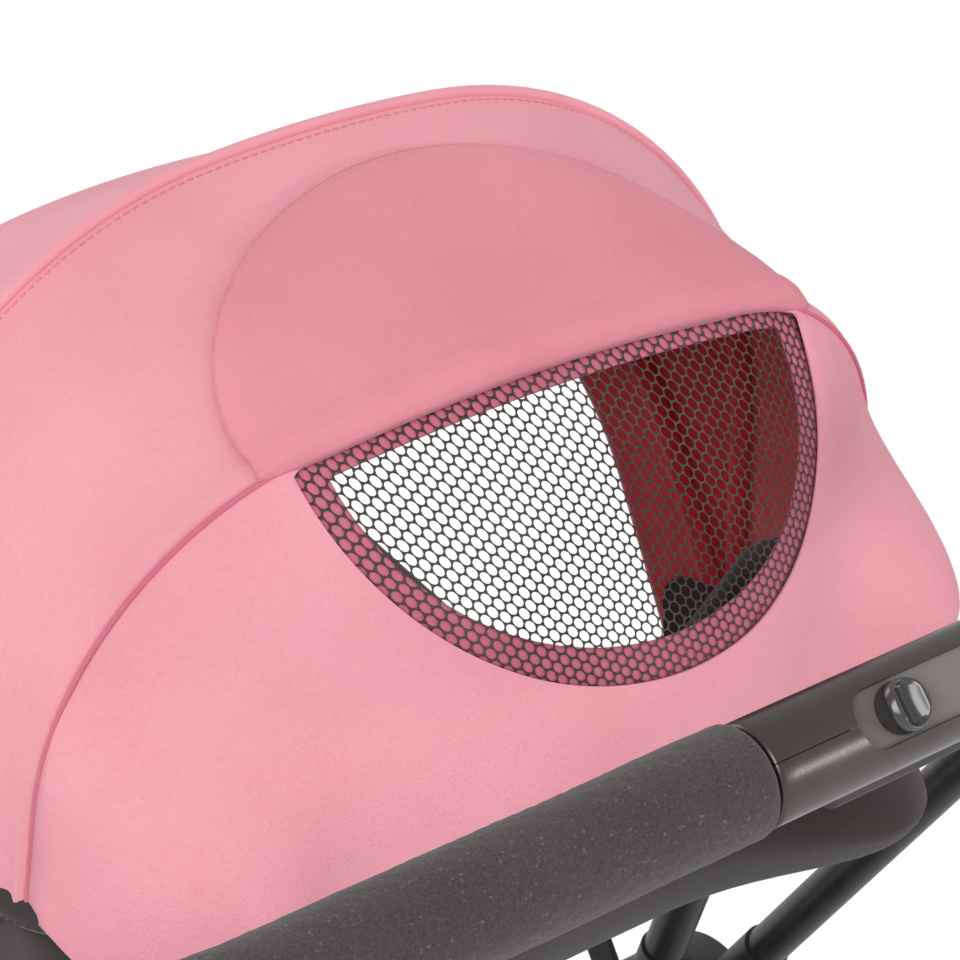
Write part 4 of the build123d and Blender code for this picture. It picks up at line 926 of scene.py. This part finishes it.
# Flap, turned up over the middle panel
def on_middle(x, share):
    """A point of the middle panel, by its x and its share of the way from the seam to the bow."""
    row = np.clip(share, 0, 1) * (len(middle_points) - 1)
    low = np.clip(np.floor(row).astype(int), 0, len(middle_points) - 2)
    part = (row - low)[..., None]
    crown = middle_points[:, len(hoop_line) // 2 - 74:len(hoop_line) // 2 + 75]
    out = np.zeros((*np.shape(x), 3))
    for place in np.ndindex(*np.shape(x)):
        strip = crown[low[place]] * (1 - part[place]) + crown[low[place] + 1] * part[place]
        out[place] = [np.interp(x[place], strip[:, 0], strip[:, k]) for k in range(3)]
    return out


Y, X = np.meshgrid(np.linspace(0, 1, FLAP_GRID[0]) ** 0.9, np.linspace(-1, 1, FLAP_GRID[1]), indexing="ij")
flap_x = FLAP_X + FLAP_HALF_W * X * np.sqrt(1 - 0.5 * Y ** 2)
flap_share = FLAP_SHARE * Y * np.sqrt(1 - 0.5 * X ** 2)
flap_points = on_middle(flap_x, flap_share)
flap_out = normals(flap_points, CANOPY_MIDDLE)
border = np.concatenate([flap_points[:, 0], flap_points[-1], flap_points[:, -1]])
gap = np.min(np.linalg.norm(flap_points[:, :, None] - border[None, None], axis=3), axis=2)
root_gap = np.linalg.norm(flap_points - flap_points[:1], axis=2)
puff = FLAP_PUFF * (1 - np.exp(-gap / 7.0)) * (1 - 0.75 * np.exp(-root_gap / 9.0))
creases = ripple(flap_points * (1.0, 0.35, 0.35), 46.0, 51) * np.exp(-root_gap / 45.0)
creases = creases + ripple(flap_points, 90.0, 52) * 0.9
flap_points = flap_points + flap_out * (FLAP_LIFT + puff + creases * np.clip(gap / 20, 0, 1))[..., None]
for end, near in ((0, 1), (-1, -2)):
    flap_points[-1, end] = (flap_points[-2, end] + flap_points[-1, near]) / 2
root_line = on_hoop(np.stack([flap_x[0], seam_height(flap_x[0])], -1))
lap = (1 - np.abs(X[0]) ** 12)[:, None]
root_rows = [root_line + lap * (0, -2.5, -2.2), root_line + lap * (0, -3.0, 0.6)]
flap_points = np.concatenate([root_rows, flap_points])

flap_way = Vector((0, cos(radians(FLAP_RISE)), sin(radians(FLAP_RISE))))
flap_start = Vector((0, HOOP_Y, HOOP[1])) * MM


def flap_split(whole, name, near_seam):
    """One part of the flap, keeping the whole flap's shading."""
    mesh = whole.data.copy()
    mesh.name = name
    with reshaped(mesh) as shape:
        gone = [
            face for face in shape.faces
            if ((face.calc_center_median() - flap_start).dot(flap_way) < FLAP_ROOT * MM) != near_seam
        ]
        bmesh.ops.delete(shape, geom=gone, context="FACES")
    kept = np.zeros(len(mesh.loops) * 3)
    mesh.attributes["shading"].data.foreach_get("vector", kept)
    mesh.normals_split_custom_set(kept.reshape(-1, 3).tolist())
    mesh.attributes.remove(mesh.attributes["shading"])
    return new_object(name, mesh)


flap_whole = cloth_piece("window_flap_whole", flap_points, FLAP_T, PAINTED_SHADE_FLAP_PINK, PAINTED_SHADE_FLAP_PINK)
shading = flap_whole.data.attributes.new("shading", "FLOAT_VECTOR", "CORNER")
shading.data.foreach_set("vector", np.array([n.vector for n in flap_whole.data.corner_normals]).ravel())
flap_root = flap_split(flap_whole, "window_flap_root", True)
flap_body = flap_split(flap_whole, "window_flap_cloth", False)
bpy.data.objects.remove(flap_whole)
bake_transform(flap_root)
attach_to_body(flap_body, "flap")
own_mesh(flap_body)
for part in (flap_root, flap_body):
    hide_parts("window_flap")


# Handle: foam grips
def lathe(stations, sides):
    """Rings along X round the handle bar, from (x, radius) stations."""
    turn = circle(sides)
    x, r = np.array(stations).T
    return np.stack([
        np.repeat(x[:, None], sides, 1), BAR[0] + r[:, None] * np.cos(turn), BAR[1] + r[:, None] * np.sin(turn)
    ], -1)


def round_corner(points, side):
    """The grip's far end, led round the handle's corner."""
    along = side * points[..., 0]
    turn = np.maximum(along - CORNER_FROM, 0) / CORNER_R
    off = points[..., 1:] - BAR
    ahead, aside = off @ ARM_WAY, off @ ARM_SIDE
    x = np.where(turn > 0, CORNER_FROM + (CORNER_R - ahead) * np.sin(turn), along)
    ahead = CORNER_R - (CORNER_R - ahead) * np.cos(turn)
    place = BAR + ahead[..., None] * ARM_WAY + aside[..., None] * ARM_SIDE
    return np.concatenate([side * x[..., None], place], -1)


for word, side in (("right", 1), ("left", -1)):
    end = [
        (FOAM_ROUND * (1 - cos(b)), FOAM_R - FOAM_ROUND * (1 - sin(b))) for b in np.linspace(0, pi / 2, 8)
    ]
    run = np.arange(FOAM_FROM + FOAM_ROUND + FOAM_STEP, FOAM_TO - FOAM_ROUND - 1, FOAM_STEP)
    stations = [(FOAM_FROM, BORE_R)] + [(FOAM_FROM + x, r) for x, r in end] + [(x, FOAM_R) for x in run]
    stations += [(FOAM_TO - x, r) for x, r in end[::-1]] + [(FOAM_TO, BORE_R)]
    points = lathe([(side * x, r) for x, r in stations], 128)
    skin = np.zeros(len(stations))
    skin[3:-3] = 1.0
    out = unit(points * (0, 1, 1) - np.array([0, *BAR]))
    uneven = 0.16 * ripple(points, 3.2, 61) + 0.3 * ripple(points, 48.0, 62)
    points = round_corner(points + out * (uneven * skin[:, None])[..., None], side)
    name = "foam_sleeve_" + word
    mesh = sheet_mesh(name, points, flip=side < 0, wrap=True)
    smooth(mesh, 50)
    grip = attach(new_object(name, mesh, FOAM), "handle", "foam", "foam_grip_" + word)

# Handle: centre housing in two halves, with its recess and thumb slider
tilt = radians(FACE_TILT)
THUMB = Matrix((
    (1, 0, 0, 0), (0, sin(tilt), -cos(tilt), BAR[0] * MM), (0, cos(tilt), sin(tilt), BAR[1] * MM), (0, 0, 0, 1)
))


def stadium(name, length, width, low, high, flare=0.0):
    """A slot-shaped block on the thumb face."""
    half, r = length / 2 - width / 2, width / 2
    rings = []
    for height, wide in ((low, r), (high, r + flare)):
        turns = [2 * pi * k / 64 for k in range(64)]
        rings.append([
            ((half if cos(turn) > 0 else -half) + wide * cos(turn), wide * sin(turn), height) for turn in turns
        ])
    return new_object(name, ring_mesh(name, rings, caps=2, matrix=THUMB))


def housing_half(name, side):
    start = -HOUSING_END
    stations = [
        (start, BORE_R), (start, HOUSING_R - 1.6), (start + 0.5, HOUSING_R - 0.6), (start + 1.6, HOUSING_R)
    ]
    stations += [(x, HOUSING_R) for x in np.linspace(start + 6, HOUSING_END - 6, 25)]
    stations += [(-x, r) for x, r in stations[3::-1]]
    mesh = sheet_mesh(name, lathe(stations, 160), wrap=True)
    with reshaped(mesh) as shape:
        ends = [v for v in shape.verts if abs(abs(v.co.x) - HOUSING_END * MM) < 1e-7 and
                abs(Vector((v.co.y - BAR[0] * MM, v.co.z - BAR[1] * MM)).length - BORE_R * MM) < 1e-6]
        left = sorted((v for v in ends if v.co.x < 0), key=lambda v: v.index)
        right = sorted((v for v in ends if v.co.x > 0), key=lambda v: v.index)
        for k in range(len(left)):
            j = (k + 1) % len(left)
            shape.faces.new((left[k], right[k], right[j], left[j]))
        bmesh.ops.recalc_face_normals(shape, faces=shape.faces)
    made = new_object(name, mesh, HOUSING)
    cutter = stadium("recess_cutter", RECESS_L, RECESS_W, RECESS_FLOOR, HOUSING_R + 6, 0.6)
    modified(made, "BOOLEAN", object=cutter, operation="DIFFERENCE", solver="EXACT")
    bpy.data.objects.remove(cutter)
    across = THUMB.to_3x3() @ Vector((0, 1, 0))
    with reshaped(made.data) as split:
        bmesh.ops.bisect_plane(
            split, geom=split.verts[:] + split.edges[:] + split.faces[:], plane_no=across * side,
            plane_co=THUMB.translation + across * side * HOUSING_SPLIT * MM, clear_inner=True,
        )
        bmesh.ops.holes_fill(split, edges=[e for e in split.edges if e.is_boundary])
        bmesh.ops.recalc_face_normals(split, faces=split.faces)
    modified(made, "BEVEL", width=0.35 * MM, segments=2, limit_method="ANGLE", angle_limit=radians(38))
    smooth(made.data, 40)
    return modified(made, "WEIGHTED_NORMAL", keep_sharp=True)


for word, side in (("upper", 1), ("lower", -1)):
    attach(housing_half("housing_shell_" + word, side), "handle", "dark_plastic", "housing_" + word)
# A plate on the recess floor that carries its painted light.
recess_plate = stadium("recess_plate", RECESS_L - 0.5, RECESS_W - 0.5, RECESS_FLOOR - 0.05, RECESS_FLOOR + 0.22)
recess_plate.data.materials.append(PAINTED_LIGHT_RECESS)
attach(recess_plate, "handle", "dark_plastic")


def thumb_knob():
    """Round slider with a thumb hollow between two ridges."""
    base = RECESS_FLOOR + 0.3
    shoulder = base + KNOB_H - KNOB_CROWN
    turns = circle(96)
    rings = [
        [(KNOB_X + KNOB_R * cos(t), KNOB_R * sin(t), height) for t in turns] for height in (base, shoulder)
    ]
    for r in KNOB_R * (1 - np.linspace(0, 1, 25)[1:]):
        edge = min(1.0, (KNOB_R - r) / 2.0)
        crown = KNOB_CROWN * sqrt(max(0.0, 1 - (1 - edge) ** 2))
        ring = []
        for t in turns:
            x, y = r * cos(t), r * sin(t)
            hollow = 3.1 * max(0.0, 1 - (x / 4.6) ** 2) ** 1.4 * (1 - 0.25 * (y / KNOB_R) ** 2)
            ridge = 0.7 * np.exp(-((abs(x) - 5.2) / 1.1) ** 2)
            ring.append((KNOB_X + x, y, shoulder + crown - hollow * edge + ridge * edge))
        rings.append(ring)
    mesh = ring_mesh("thumb_knob", rings, caps=1, welded=True, matrix=THUMB)
    smooth(mesh, 60)
    return new_object("thumb_knob", mesh, KNOB)


attach(thumb_knob(), "slider", "slider_plastic", "thumb_slider")


# Cabin tub: a sewn shell that hangs from the rim
def rounded_loop(rear, front, half_w, corner, counts=(28, 12, 34)):
    """A rounded oblong from the middle of its rear edge, the same count of points each time."""
    edge, arc, side = counts
    turn = np.linspace(0, pi / 2, arc + 1)
    right = [(x, rear) for x in np.linspace(0, half_w - corner, edge)[:-1]]
    right += [(half_w - corner + corner * sin(t), rear + corner * (1 - cos(t))) for t in turn]
    right += [(half_w, y) for y in np.linspace(rear + corner, front - corner, side)[1:-1]]
    right += [(half_w - corner + corner * cos(t), front - corner + corner * sin(t)) for t in turn]
    right += [(x, front) for x in np.linspace(half_w - corner, 0, edge)[1:]]
    right = np.array(right)
    return np.vstack([right, right[-2:0:-1] * (-1, 1)])


def level(loop, z):
    return np.column_stack([loop, np.full(len(loop), z)])


def drawn_to_middle(ring, shares, sag=0.0):
    """Rings from a shell's last ring in to the middle of its floor."""
    middle = ring.mean(0)
    return [
        middle + (ring - middle) * (share, share, 1) - (0, 0, sag * (1 - share ** 2)) for share in shares
    ]


def bent_path(points, radii, steps=14):
    """Straight runs joined by tangent arcs, as points."""
    points = [np.array(p, float) for p in points]
    path = [points[0]]

    def straight(end):
        start = path[-1]
        count = max(2, int(np.linalg.norm(end - start) / 8))
        path.extend(start + (end - start) * k for k in np.linspace(0, 1, count)[1:])

    for before, corner, after, radius in zip(points, points[1:], points[2:], radii):
        into = unit(corner - before)
        out = unit(after - corner)
        turn = np.arccos(np.clip(into @ out, -1, 1))
        start = corner - into * radius * np.tan(turn / 2)
        side = unit(out - into * (into @ out))
        straight(start)
        for t in np.linspace(0, turn, steps)[1:]:
            path.append(start + into * radius * sin(t) + side * radius * (1 - cos(t)))
    straight(points[-1])
    return np.array(path)


RIM_PATH = bent_path(
    [(0, RIM_REAR_Y, RIM_Z), (RIM_HALF_W, RIM_REAR_Y, RIM_Z), (RIM_HALF_W, RIM_DROP_Y, RIM_Z),
     (RIM_HALF_W, *RIM_DIP), (RIM_HALF_W, *RIM_FRONT), (0, *RIM_FRONT)], RIM_BENDS,
)
RIM_LOOP = np.vstack([RIM_PATH, RIM_PATH[-2:0:-1] * (-1, 1, 1)])


def tub_top(y):
    """Height of the tub's edge, just under the rim tube."""
    order = np.argsort(RIM_PATH[:, 1], kind="stable")
    line_y, line_z = RIM_PATH[order, 1], RIM_PATH[order, 2]
    slope = np.interp(y + 2, line_y, line_z) - np.interp(y - 2, line_y, line_z)
    return np.interp(y, line_y, line_z) - TUB_UNDER_RIM * np.sqrt(1 + (slope / 4) ** 2)


def end_slope(z, bend_z, slope):
    """How far an end wall has sloped in at a height."""
    return slope * TUB_BEND * np.log1p(np.exp((bend_z - z) / TUB_BEND))


def tub_loop(z):
    """The tub's outline at a height."""
    low = np.clip((z - TUB_FLOOR_Z) / TUB_ROUND, 0, 1)
    pull = TUB_ROUND * (1 - sqrt(1 - (1 - low) ** 2))
    let_out, up_to = TUB_REAR_FULL
    rear = TUB[0] + end_slope(z, *TUB_REAR) - let_out * (1 - eased(z, TUB_FLOOR_Z, up_to))
    front = TUB[1] - end_slope(z, *TUB_FRONT)
    return rounded_loop(rear, front - pull * 0.2, TUB[2] - pull, TUB_CORNER)


def tub_rings():
    heights = np.linspace(TUB_FLOOR_Z, RIM_Z, 140)
    table = np.stack([tub_loop(z) for z in heights])
    edge = tub_top(table[-1, :, 1])
    rings = []
    for drop in np.linspace(0, 1, 50):
        z = edge - (edge - TUB_FLOOR_Z) * drop
        place = np.clip((z - heights[0]) / (heights[1] - heights[0]), 0, len(heights) - 1.001)
        below = place.astype(int)
        part = (place - below)[:, None]
        column = np.arange(len(z))
        plan = table[below, column] * (1 - part) + table[below + 1, column] * part
        rings.append(np.column_stack([plan, z]))
    return np.stack(rings + drawn_to_middle(rings[-1], np.linspace(0.93, 0.0, 14)))


def drawn_in(points, amount, length, seed, middle):
    """Slack in a hanging shell, always inwards."""
    slack = 0.5 + 0.5 * np.clip(ripple(points, length, seed), -1, 1)
    return points - normals(points, middle) * (slack * amount)[..., None]


tub_points = tub_rings()
depth = np.clip((tub_points[:1, :, 2] - tub_points[..., 2]) / 30, 0, 1)
amount = 3.4 * depth * (tub_points[..., 2] > TUB_FLOOR_Z + 10)
tub_points = drawn_in(tub_points, amount, 110.0, 71, (0, 120, 720))
tub_x, tub_y, tub_z = np.abs(tub_points[..., 0]), tub_points[..., 1], tub_points[..., 2]
sleeve_z = RIM_Z - RIM_SLEEVE_R
fall = np.clip((sleeve_z - tub_z) / (sleeve_z - SLACK_Z[1]), 0, 1)
slack = eased(tub_z, *SLACK_Z) * fall ** 0.8 * np.clip(1 - (tub_x / 181.0) ** 10, 0, 1)
slack = slack * (0.1 + 0.9 * eased(tub_x, *SLACK_X))
tub_points[..., 1] -= TUB_SLACK * slack * np.clip((SLACK_Y[0] - tub_y) / SLACK_Y[1], 0, 1)
tub = cloth_piece("cabin_tub_cloth", tub_points, SHELL_T, CHARCOAL, CHARCOAL, flip=True, wrap=True)
attach(tub, "chassis", "charcoal_fabric", "cabin_tub")
rim_sleeve = piping("cabin_rim_sleeve", RIM_LOOP, RIM_SLEEVE_R, CHARCOAL, closed=True, sides=20)
attach(rim_sleeve, "chassis", "charcoal_fabric")
rim_out = np.cross(unit(np.roll(RIM_LOOP, -1, 0) - np.roll(RIM_LOOP, 1, 0)), (0, 0, 1))
rim_stitches = stitching("cabin_rim_stitches", RIM_LOOP + rim_out * 7.4 - (0, 0, 3.6), DARK_THREAD, closed=True)
attach(rim_stitches, "chassis", "charcoal_fabric")


# Basket: a sewn bag that sags between its straps
def basket_rings():
    rings = []
    top, foot = BASKET_Z
    for drop in np.linspace(0, 1, 40):
        inset = 18.0 * drop + 30.0 * max(0.0, drop - 0.8) ** 1.6 * 5
        loop = rounded_loop(BASKET[0] + inset, BASKET[1] - inset, BASKET[2] - inset, BASKET_CORNER)
        loop = level(loop, top - (top - foot) * drop)
        sway = np.clip(np.abs(loop[:, 1] - BASKET_STRAPS_Y[0]) / BASKET_STRAPS_Y[1], 0, 1)
        side = np.abs(loop[:, 0]) / BASKET[2]
        loop[:, 2] -= (1 - drop) * 9.0 * (1 - sway ** 2) * np.clip(side * 4 - 3, 0, 1)
        loop[:, 2] -= (1 - drop) * 12.0 * (1 - side ** 2) * (sway >= 1)
        rings.append(loop)
    return np.stack(rings + drawn_to_middle(rings[-1], np.linspace(0.93, 0.0, 16), 7.0))


basket_points = drawn_in(basket_rings(), 3.0, 90.0, 81, (0, 20, 330))
basket = cloth_piece("basket_cloth", basket_points, SHELL_T, CHARCOAL, CHARCOAL, flip=True, wrap=True)
attach(basket, "chassis", "charcoal_fabric", "basket")
basket_binding = piping("basket_binding", basket_points[0] - (0, 0, 1.0), 3.2, WEBBING, closed=True)
attach(basket_binding, "chassis", "charcoal_fabric")


# Webbing straps from the cabin rim to the basket
def strap(name, side, y, top, foot_y):
    S, A = np.meshgrid(np.linspace(0, 1, 70), np.linspace(-STRAP_HALF_W, STRAP_HALF_W, 9), indexing="ij")
    slack = 0.9 * np.sin(S * pi) * (1 + 0.3 * A / STRAP_HALF_W)
    points = np.stack([
        side * (STRAP_X + 1.5 + slack), y + (foot_y - y) * S + A, top + (STRAP_FOOT_Z - top) * S
    ], -1)
    return cloth_piece(name, points, STRAP_T, WEBBING, flip=side > 0)


for side, word in ((1, "right"), (-1, "left")):
    for y, top, foot_y, end in STRAPS:
        made = strap(f"basket_strap_{end}_{word}", side, y, top, foot_y)
        attach(made, "chassis", "charcoal_fabric", "basket_straps")
        x = side * (STRAP_X + 1.9)
        slant = (foot_y - y) / (STRAP_FOOT_Z - top)
        for place, low in (("foot", STRAP_FOOT_Z + 4), ("head", top - 32)):
            box = np.array([
                (x, y + (z - top) * slant + a, z)
                for a, z in ((-8, low), (8, low), (8, low + 28), (-8, low + 28))
            ])
            name = f"strap_{place}_stitches_{end}_{word}"
            sewn = stitching(name, box, DARK_THREAD, closed=True, pitch=2.6, length=2.0)
            attach(sewn, "chassis", "charcoal_fabric")


# Cabin pad: a filled cushion on the floor board
def pad_mesh():
    rings = []
    for share, inset in PAD_RINGS:
        rear, front = PAD_MIDDLE_Y - PAD_HALF[1] + inset, PAD_MIDDLE_Y + PAD_HALF[1] - inset
        loop = rounded_loop(rear, front, PAD_HALF[0] - inset, PAD_CORNER)
        rings.append(level(loop, PAD_Z + share * PAD_T))
    under, over = (drawn_to_middle(ring, (0.66, 0.33, 0.0)) for ring in (rings[0], rings[-1]))
    mesh = sheet_mesh("pad", np.stack(under[::-1] + rings + over), wrap=True)
    with reshaped(mesh) as shape:
        weld(shape)
    return mesh


def fill_pad(made):
    """Blow the pad up as cloth, then hold how far it moved."""
    modified(made, "REMESH", mode="VOXEL", voxel_size=5.0 * MM, use_smooth_shade=True)
    before = spots_of(made.data)
    cloth = made.modifiers.new("fill", "CLOTH").settings
    cloth.use_pressure = True
    cloth.uniform_pressure_force = 4.0
    cloth.effector_weights.gravity = 0.0
    cloth.quality = 4
    scene = bpy.context.scene
    for step in range(1, 21):
        scene.frame_set(step)
    bake(made)
    moved = spots_of(made.data) - before
    far = np.linalg.norm(moved, axis=1, keepdims=True)
    held = before + moved * np.minimum(1, 6.0 * MM / np.maximum(far, 1e-9))
    held[:, 2] = np.clip(held[:, 2], PAD_Z * MM, (PAD_Z + PAD_T + 2) * MM)
    set_spots(made.data, held)
    scene.frame_set(1)


pad = new_object("cabin_pad_cushion", pad_mesh(), PAD_CLOTH)
fill_pad(pad)
modified(pad, "SUBSURF", levels=1, render_levels=1)
spots = spots_of(pad.data)
top_share = np.clip((spots[:, 2] / MM - PAD_Z - 14) / 12, 0, 1)
channel = sum(np.exp(-((spots[:, 0] / MM - x) / 4.0) ** 2) for x in PAD_CHANNELS)
spots[:, 2] -= channel * top_share * 4.5 * MM
set_spots(pad.data, spots)
smooth(pad.data)
flat_map = pad.data.uv_layers[0] if pad.data.uv_layers else pad.data.uv_layers.new(name="cloth")
loop_spots = np.array([spots[loop.vertex_index] for loop in pad.data.loops])
flat_map.data.foreach_set("uv", np.stack([loop_spots[:, 0], loop_spots[:, 1] + loop_spots[:, 2]], -1).ravel())
attach(pad, "chassis", "pad_fabric", "cabin_pad")


def declare(points, wrap=False):
    """Works out a cloth sheet's flat size: unrolled, or for a closed shape its box's two longer sides, grown to
    its area where they are too small. Nothing is kept or returned."""
    laid = closed_rows(points) if wrap else points
    crossed = np.cross(laid[1:, 1:] - laid[:-1, :-1], laid[1:, :-1] - laid[:-1, 1:])
    area = float(np.linalg.norm(crossed, axis=2).sum() / 2) * MM * MM
    if wrap:
        lows, highs = laid.reshape(-1, 3).min(0), laid.reshape(-1, 3).max(0)
        width, length = sorted((highs - lows) * MM)[1:]
        if area > width * length:
            wider = sqrt(area / (width * length))
            width, length = width * wider * 1.02, length * wider * 1.02
    else:
        width = float(spans(laid, 1).sum(1).max()) * MM
        length = float(spans(laid, 0).sum(0).max()) * MM
    area = min(area, width * length)


declare(middle_points)
declare(front_points)
declare(rear_points, wrap=True)
declare(flap_points)
declare(tub_points, wrap=True)
declare(basket_points, wrap=True)

# Stage: pale floor that turns into a white backdrop away from the stroller, soft lamps and the camera
WHITE = (1.0, 1.0, 1.0, 1.0)
floor_mesh = bpy.data.meshes.new("floor")
floor_mesh.from_pydata(
    [(60 * cos(t), 60 * sin(t), 0.0) for t in circle(64)], [], [list(range(64))]
)
floor_material = bpy.data.materials.new("pale_floor")
floor_material.use_nodes = True
ground = Graph(floor_material.node_tree)
spot = ground.node("ShaderNodeTexCoord").other("Object")
away = ground.node("ShaderNodeVectorMath", {0: spot}, operation="LENGTH").other("Value")
straight = ground.rays("Camera", "Glossy", "Transmission")
matt = ground.node("ShaderNodeBsdfDiffuse", {"Color": (0.86, 0.86, 0.86, 1.0)})
white = ground.node("ShaderNodeEmission", {"Color": WHITE, "Strength": 1.0})
shown = ground.node("ShaderNodeMixShader", {0: straight * away.step(0.45, 1.0), 1: matt, 2: white})
ground.node("ShaderNodeOutputMaterial", {"Surface": shown})
floor = new_object("floor", floor_mesh, floor_material)

world = bpy.data.worlds.new("studio")
bpy.context.scene.world = world
world.use_nodes = True
sky = Graph(world.node_tree)
straight = sky.rays("Camera", "Transmission")
soft, white = (
    sky.node("ShaderNodeBackground", {"Color": WHITE, "Strength": strength}) for strength in (0.62, 1.0)
)
shown = sky.node("ShaderNodeMixShader", {0: straight, 1: soft, 2: white})
sky.node("ShaderNodeOutputWorld", {"Surface": shown})


def lamp(name, spot, target, width, height, power):
    data = bpy.data.lights.new(name, "AREA")
    data.shape = "ELLIPSE"
    data.size, data.size_y = width, height
    data.energy = power
    made = bpy.data.objects.new(name, data)
    made.location = spot
    made.rotation_euler = (Vector(target) - Vector(spot)).to_track_quat("-Z", "Y").to_euler()
    bpy.context.scene.collection.objects.link(made)


lamp("key_lamp", (-2.3, -1.6, 2.3), (0, 0, 0.8), 1.6, 1.6, 42.0)
lamp("fill_lamp", (2.4, -1.2, 1.9), (0, 0, 0.7), 1.8, 1.8, 5.0)
lamp("front_lamp", (-0.8, 2.6, 2.2), (0, 0, 0.7), 1.8, 1.8, 16.0)
lamp("strip_lamp", (1.22, -1.75, 1.03), (0.05, -0.317, 0.926), 0.85, 0.26, 6.5)

camera_data = bpy.data.cameras.new("camera")
camera_data.sensor_width = 36.0
camera_data.lens = CAMERA_LENS
camera_data.clip_start, camera_data.clip_end = 0.05, 200.0
yaw, pitch, roll = (radians(turn) for turn in CAMERA_TURN)
ahead = Vector((sin(yaw) * cos(pitch), cos(yaw) * cos(pitch), -sin(pitch)))
right = Vector((cos(yaw), -sin(yaw), 0))
down = -right.cross(ahead)
right, down = right * cos(roll) + down * sin(roll), down * cos(roll) - right * sin(roll)
camera = bpy.data.objects.new("camera", camera_data)
camera.matrix_world = Matrix((
    *((right[k], -down[k], -ahead[k], CAMERA_SPOT[k]) for k in range(3)), (0, 0, 0, 1)
))
bpy.context.scene.collection.objects.link(camera)
bpy.context.scene.camera = camera
bpy.context.scene.view_settings.view_transform = "Standard"
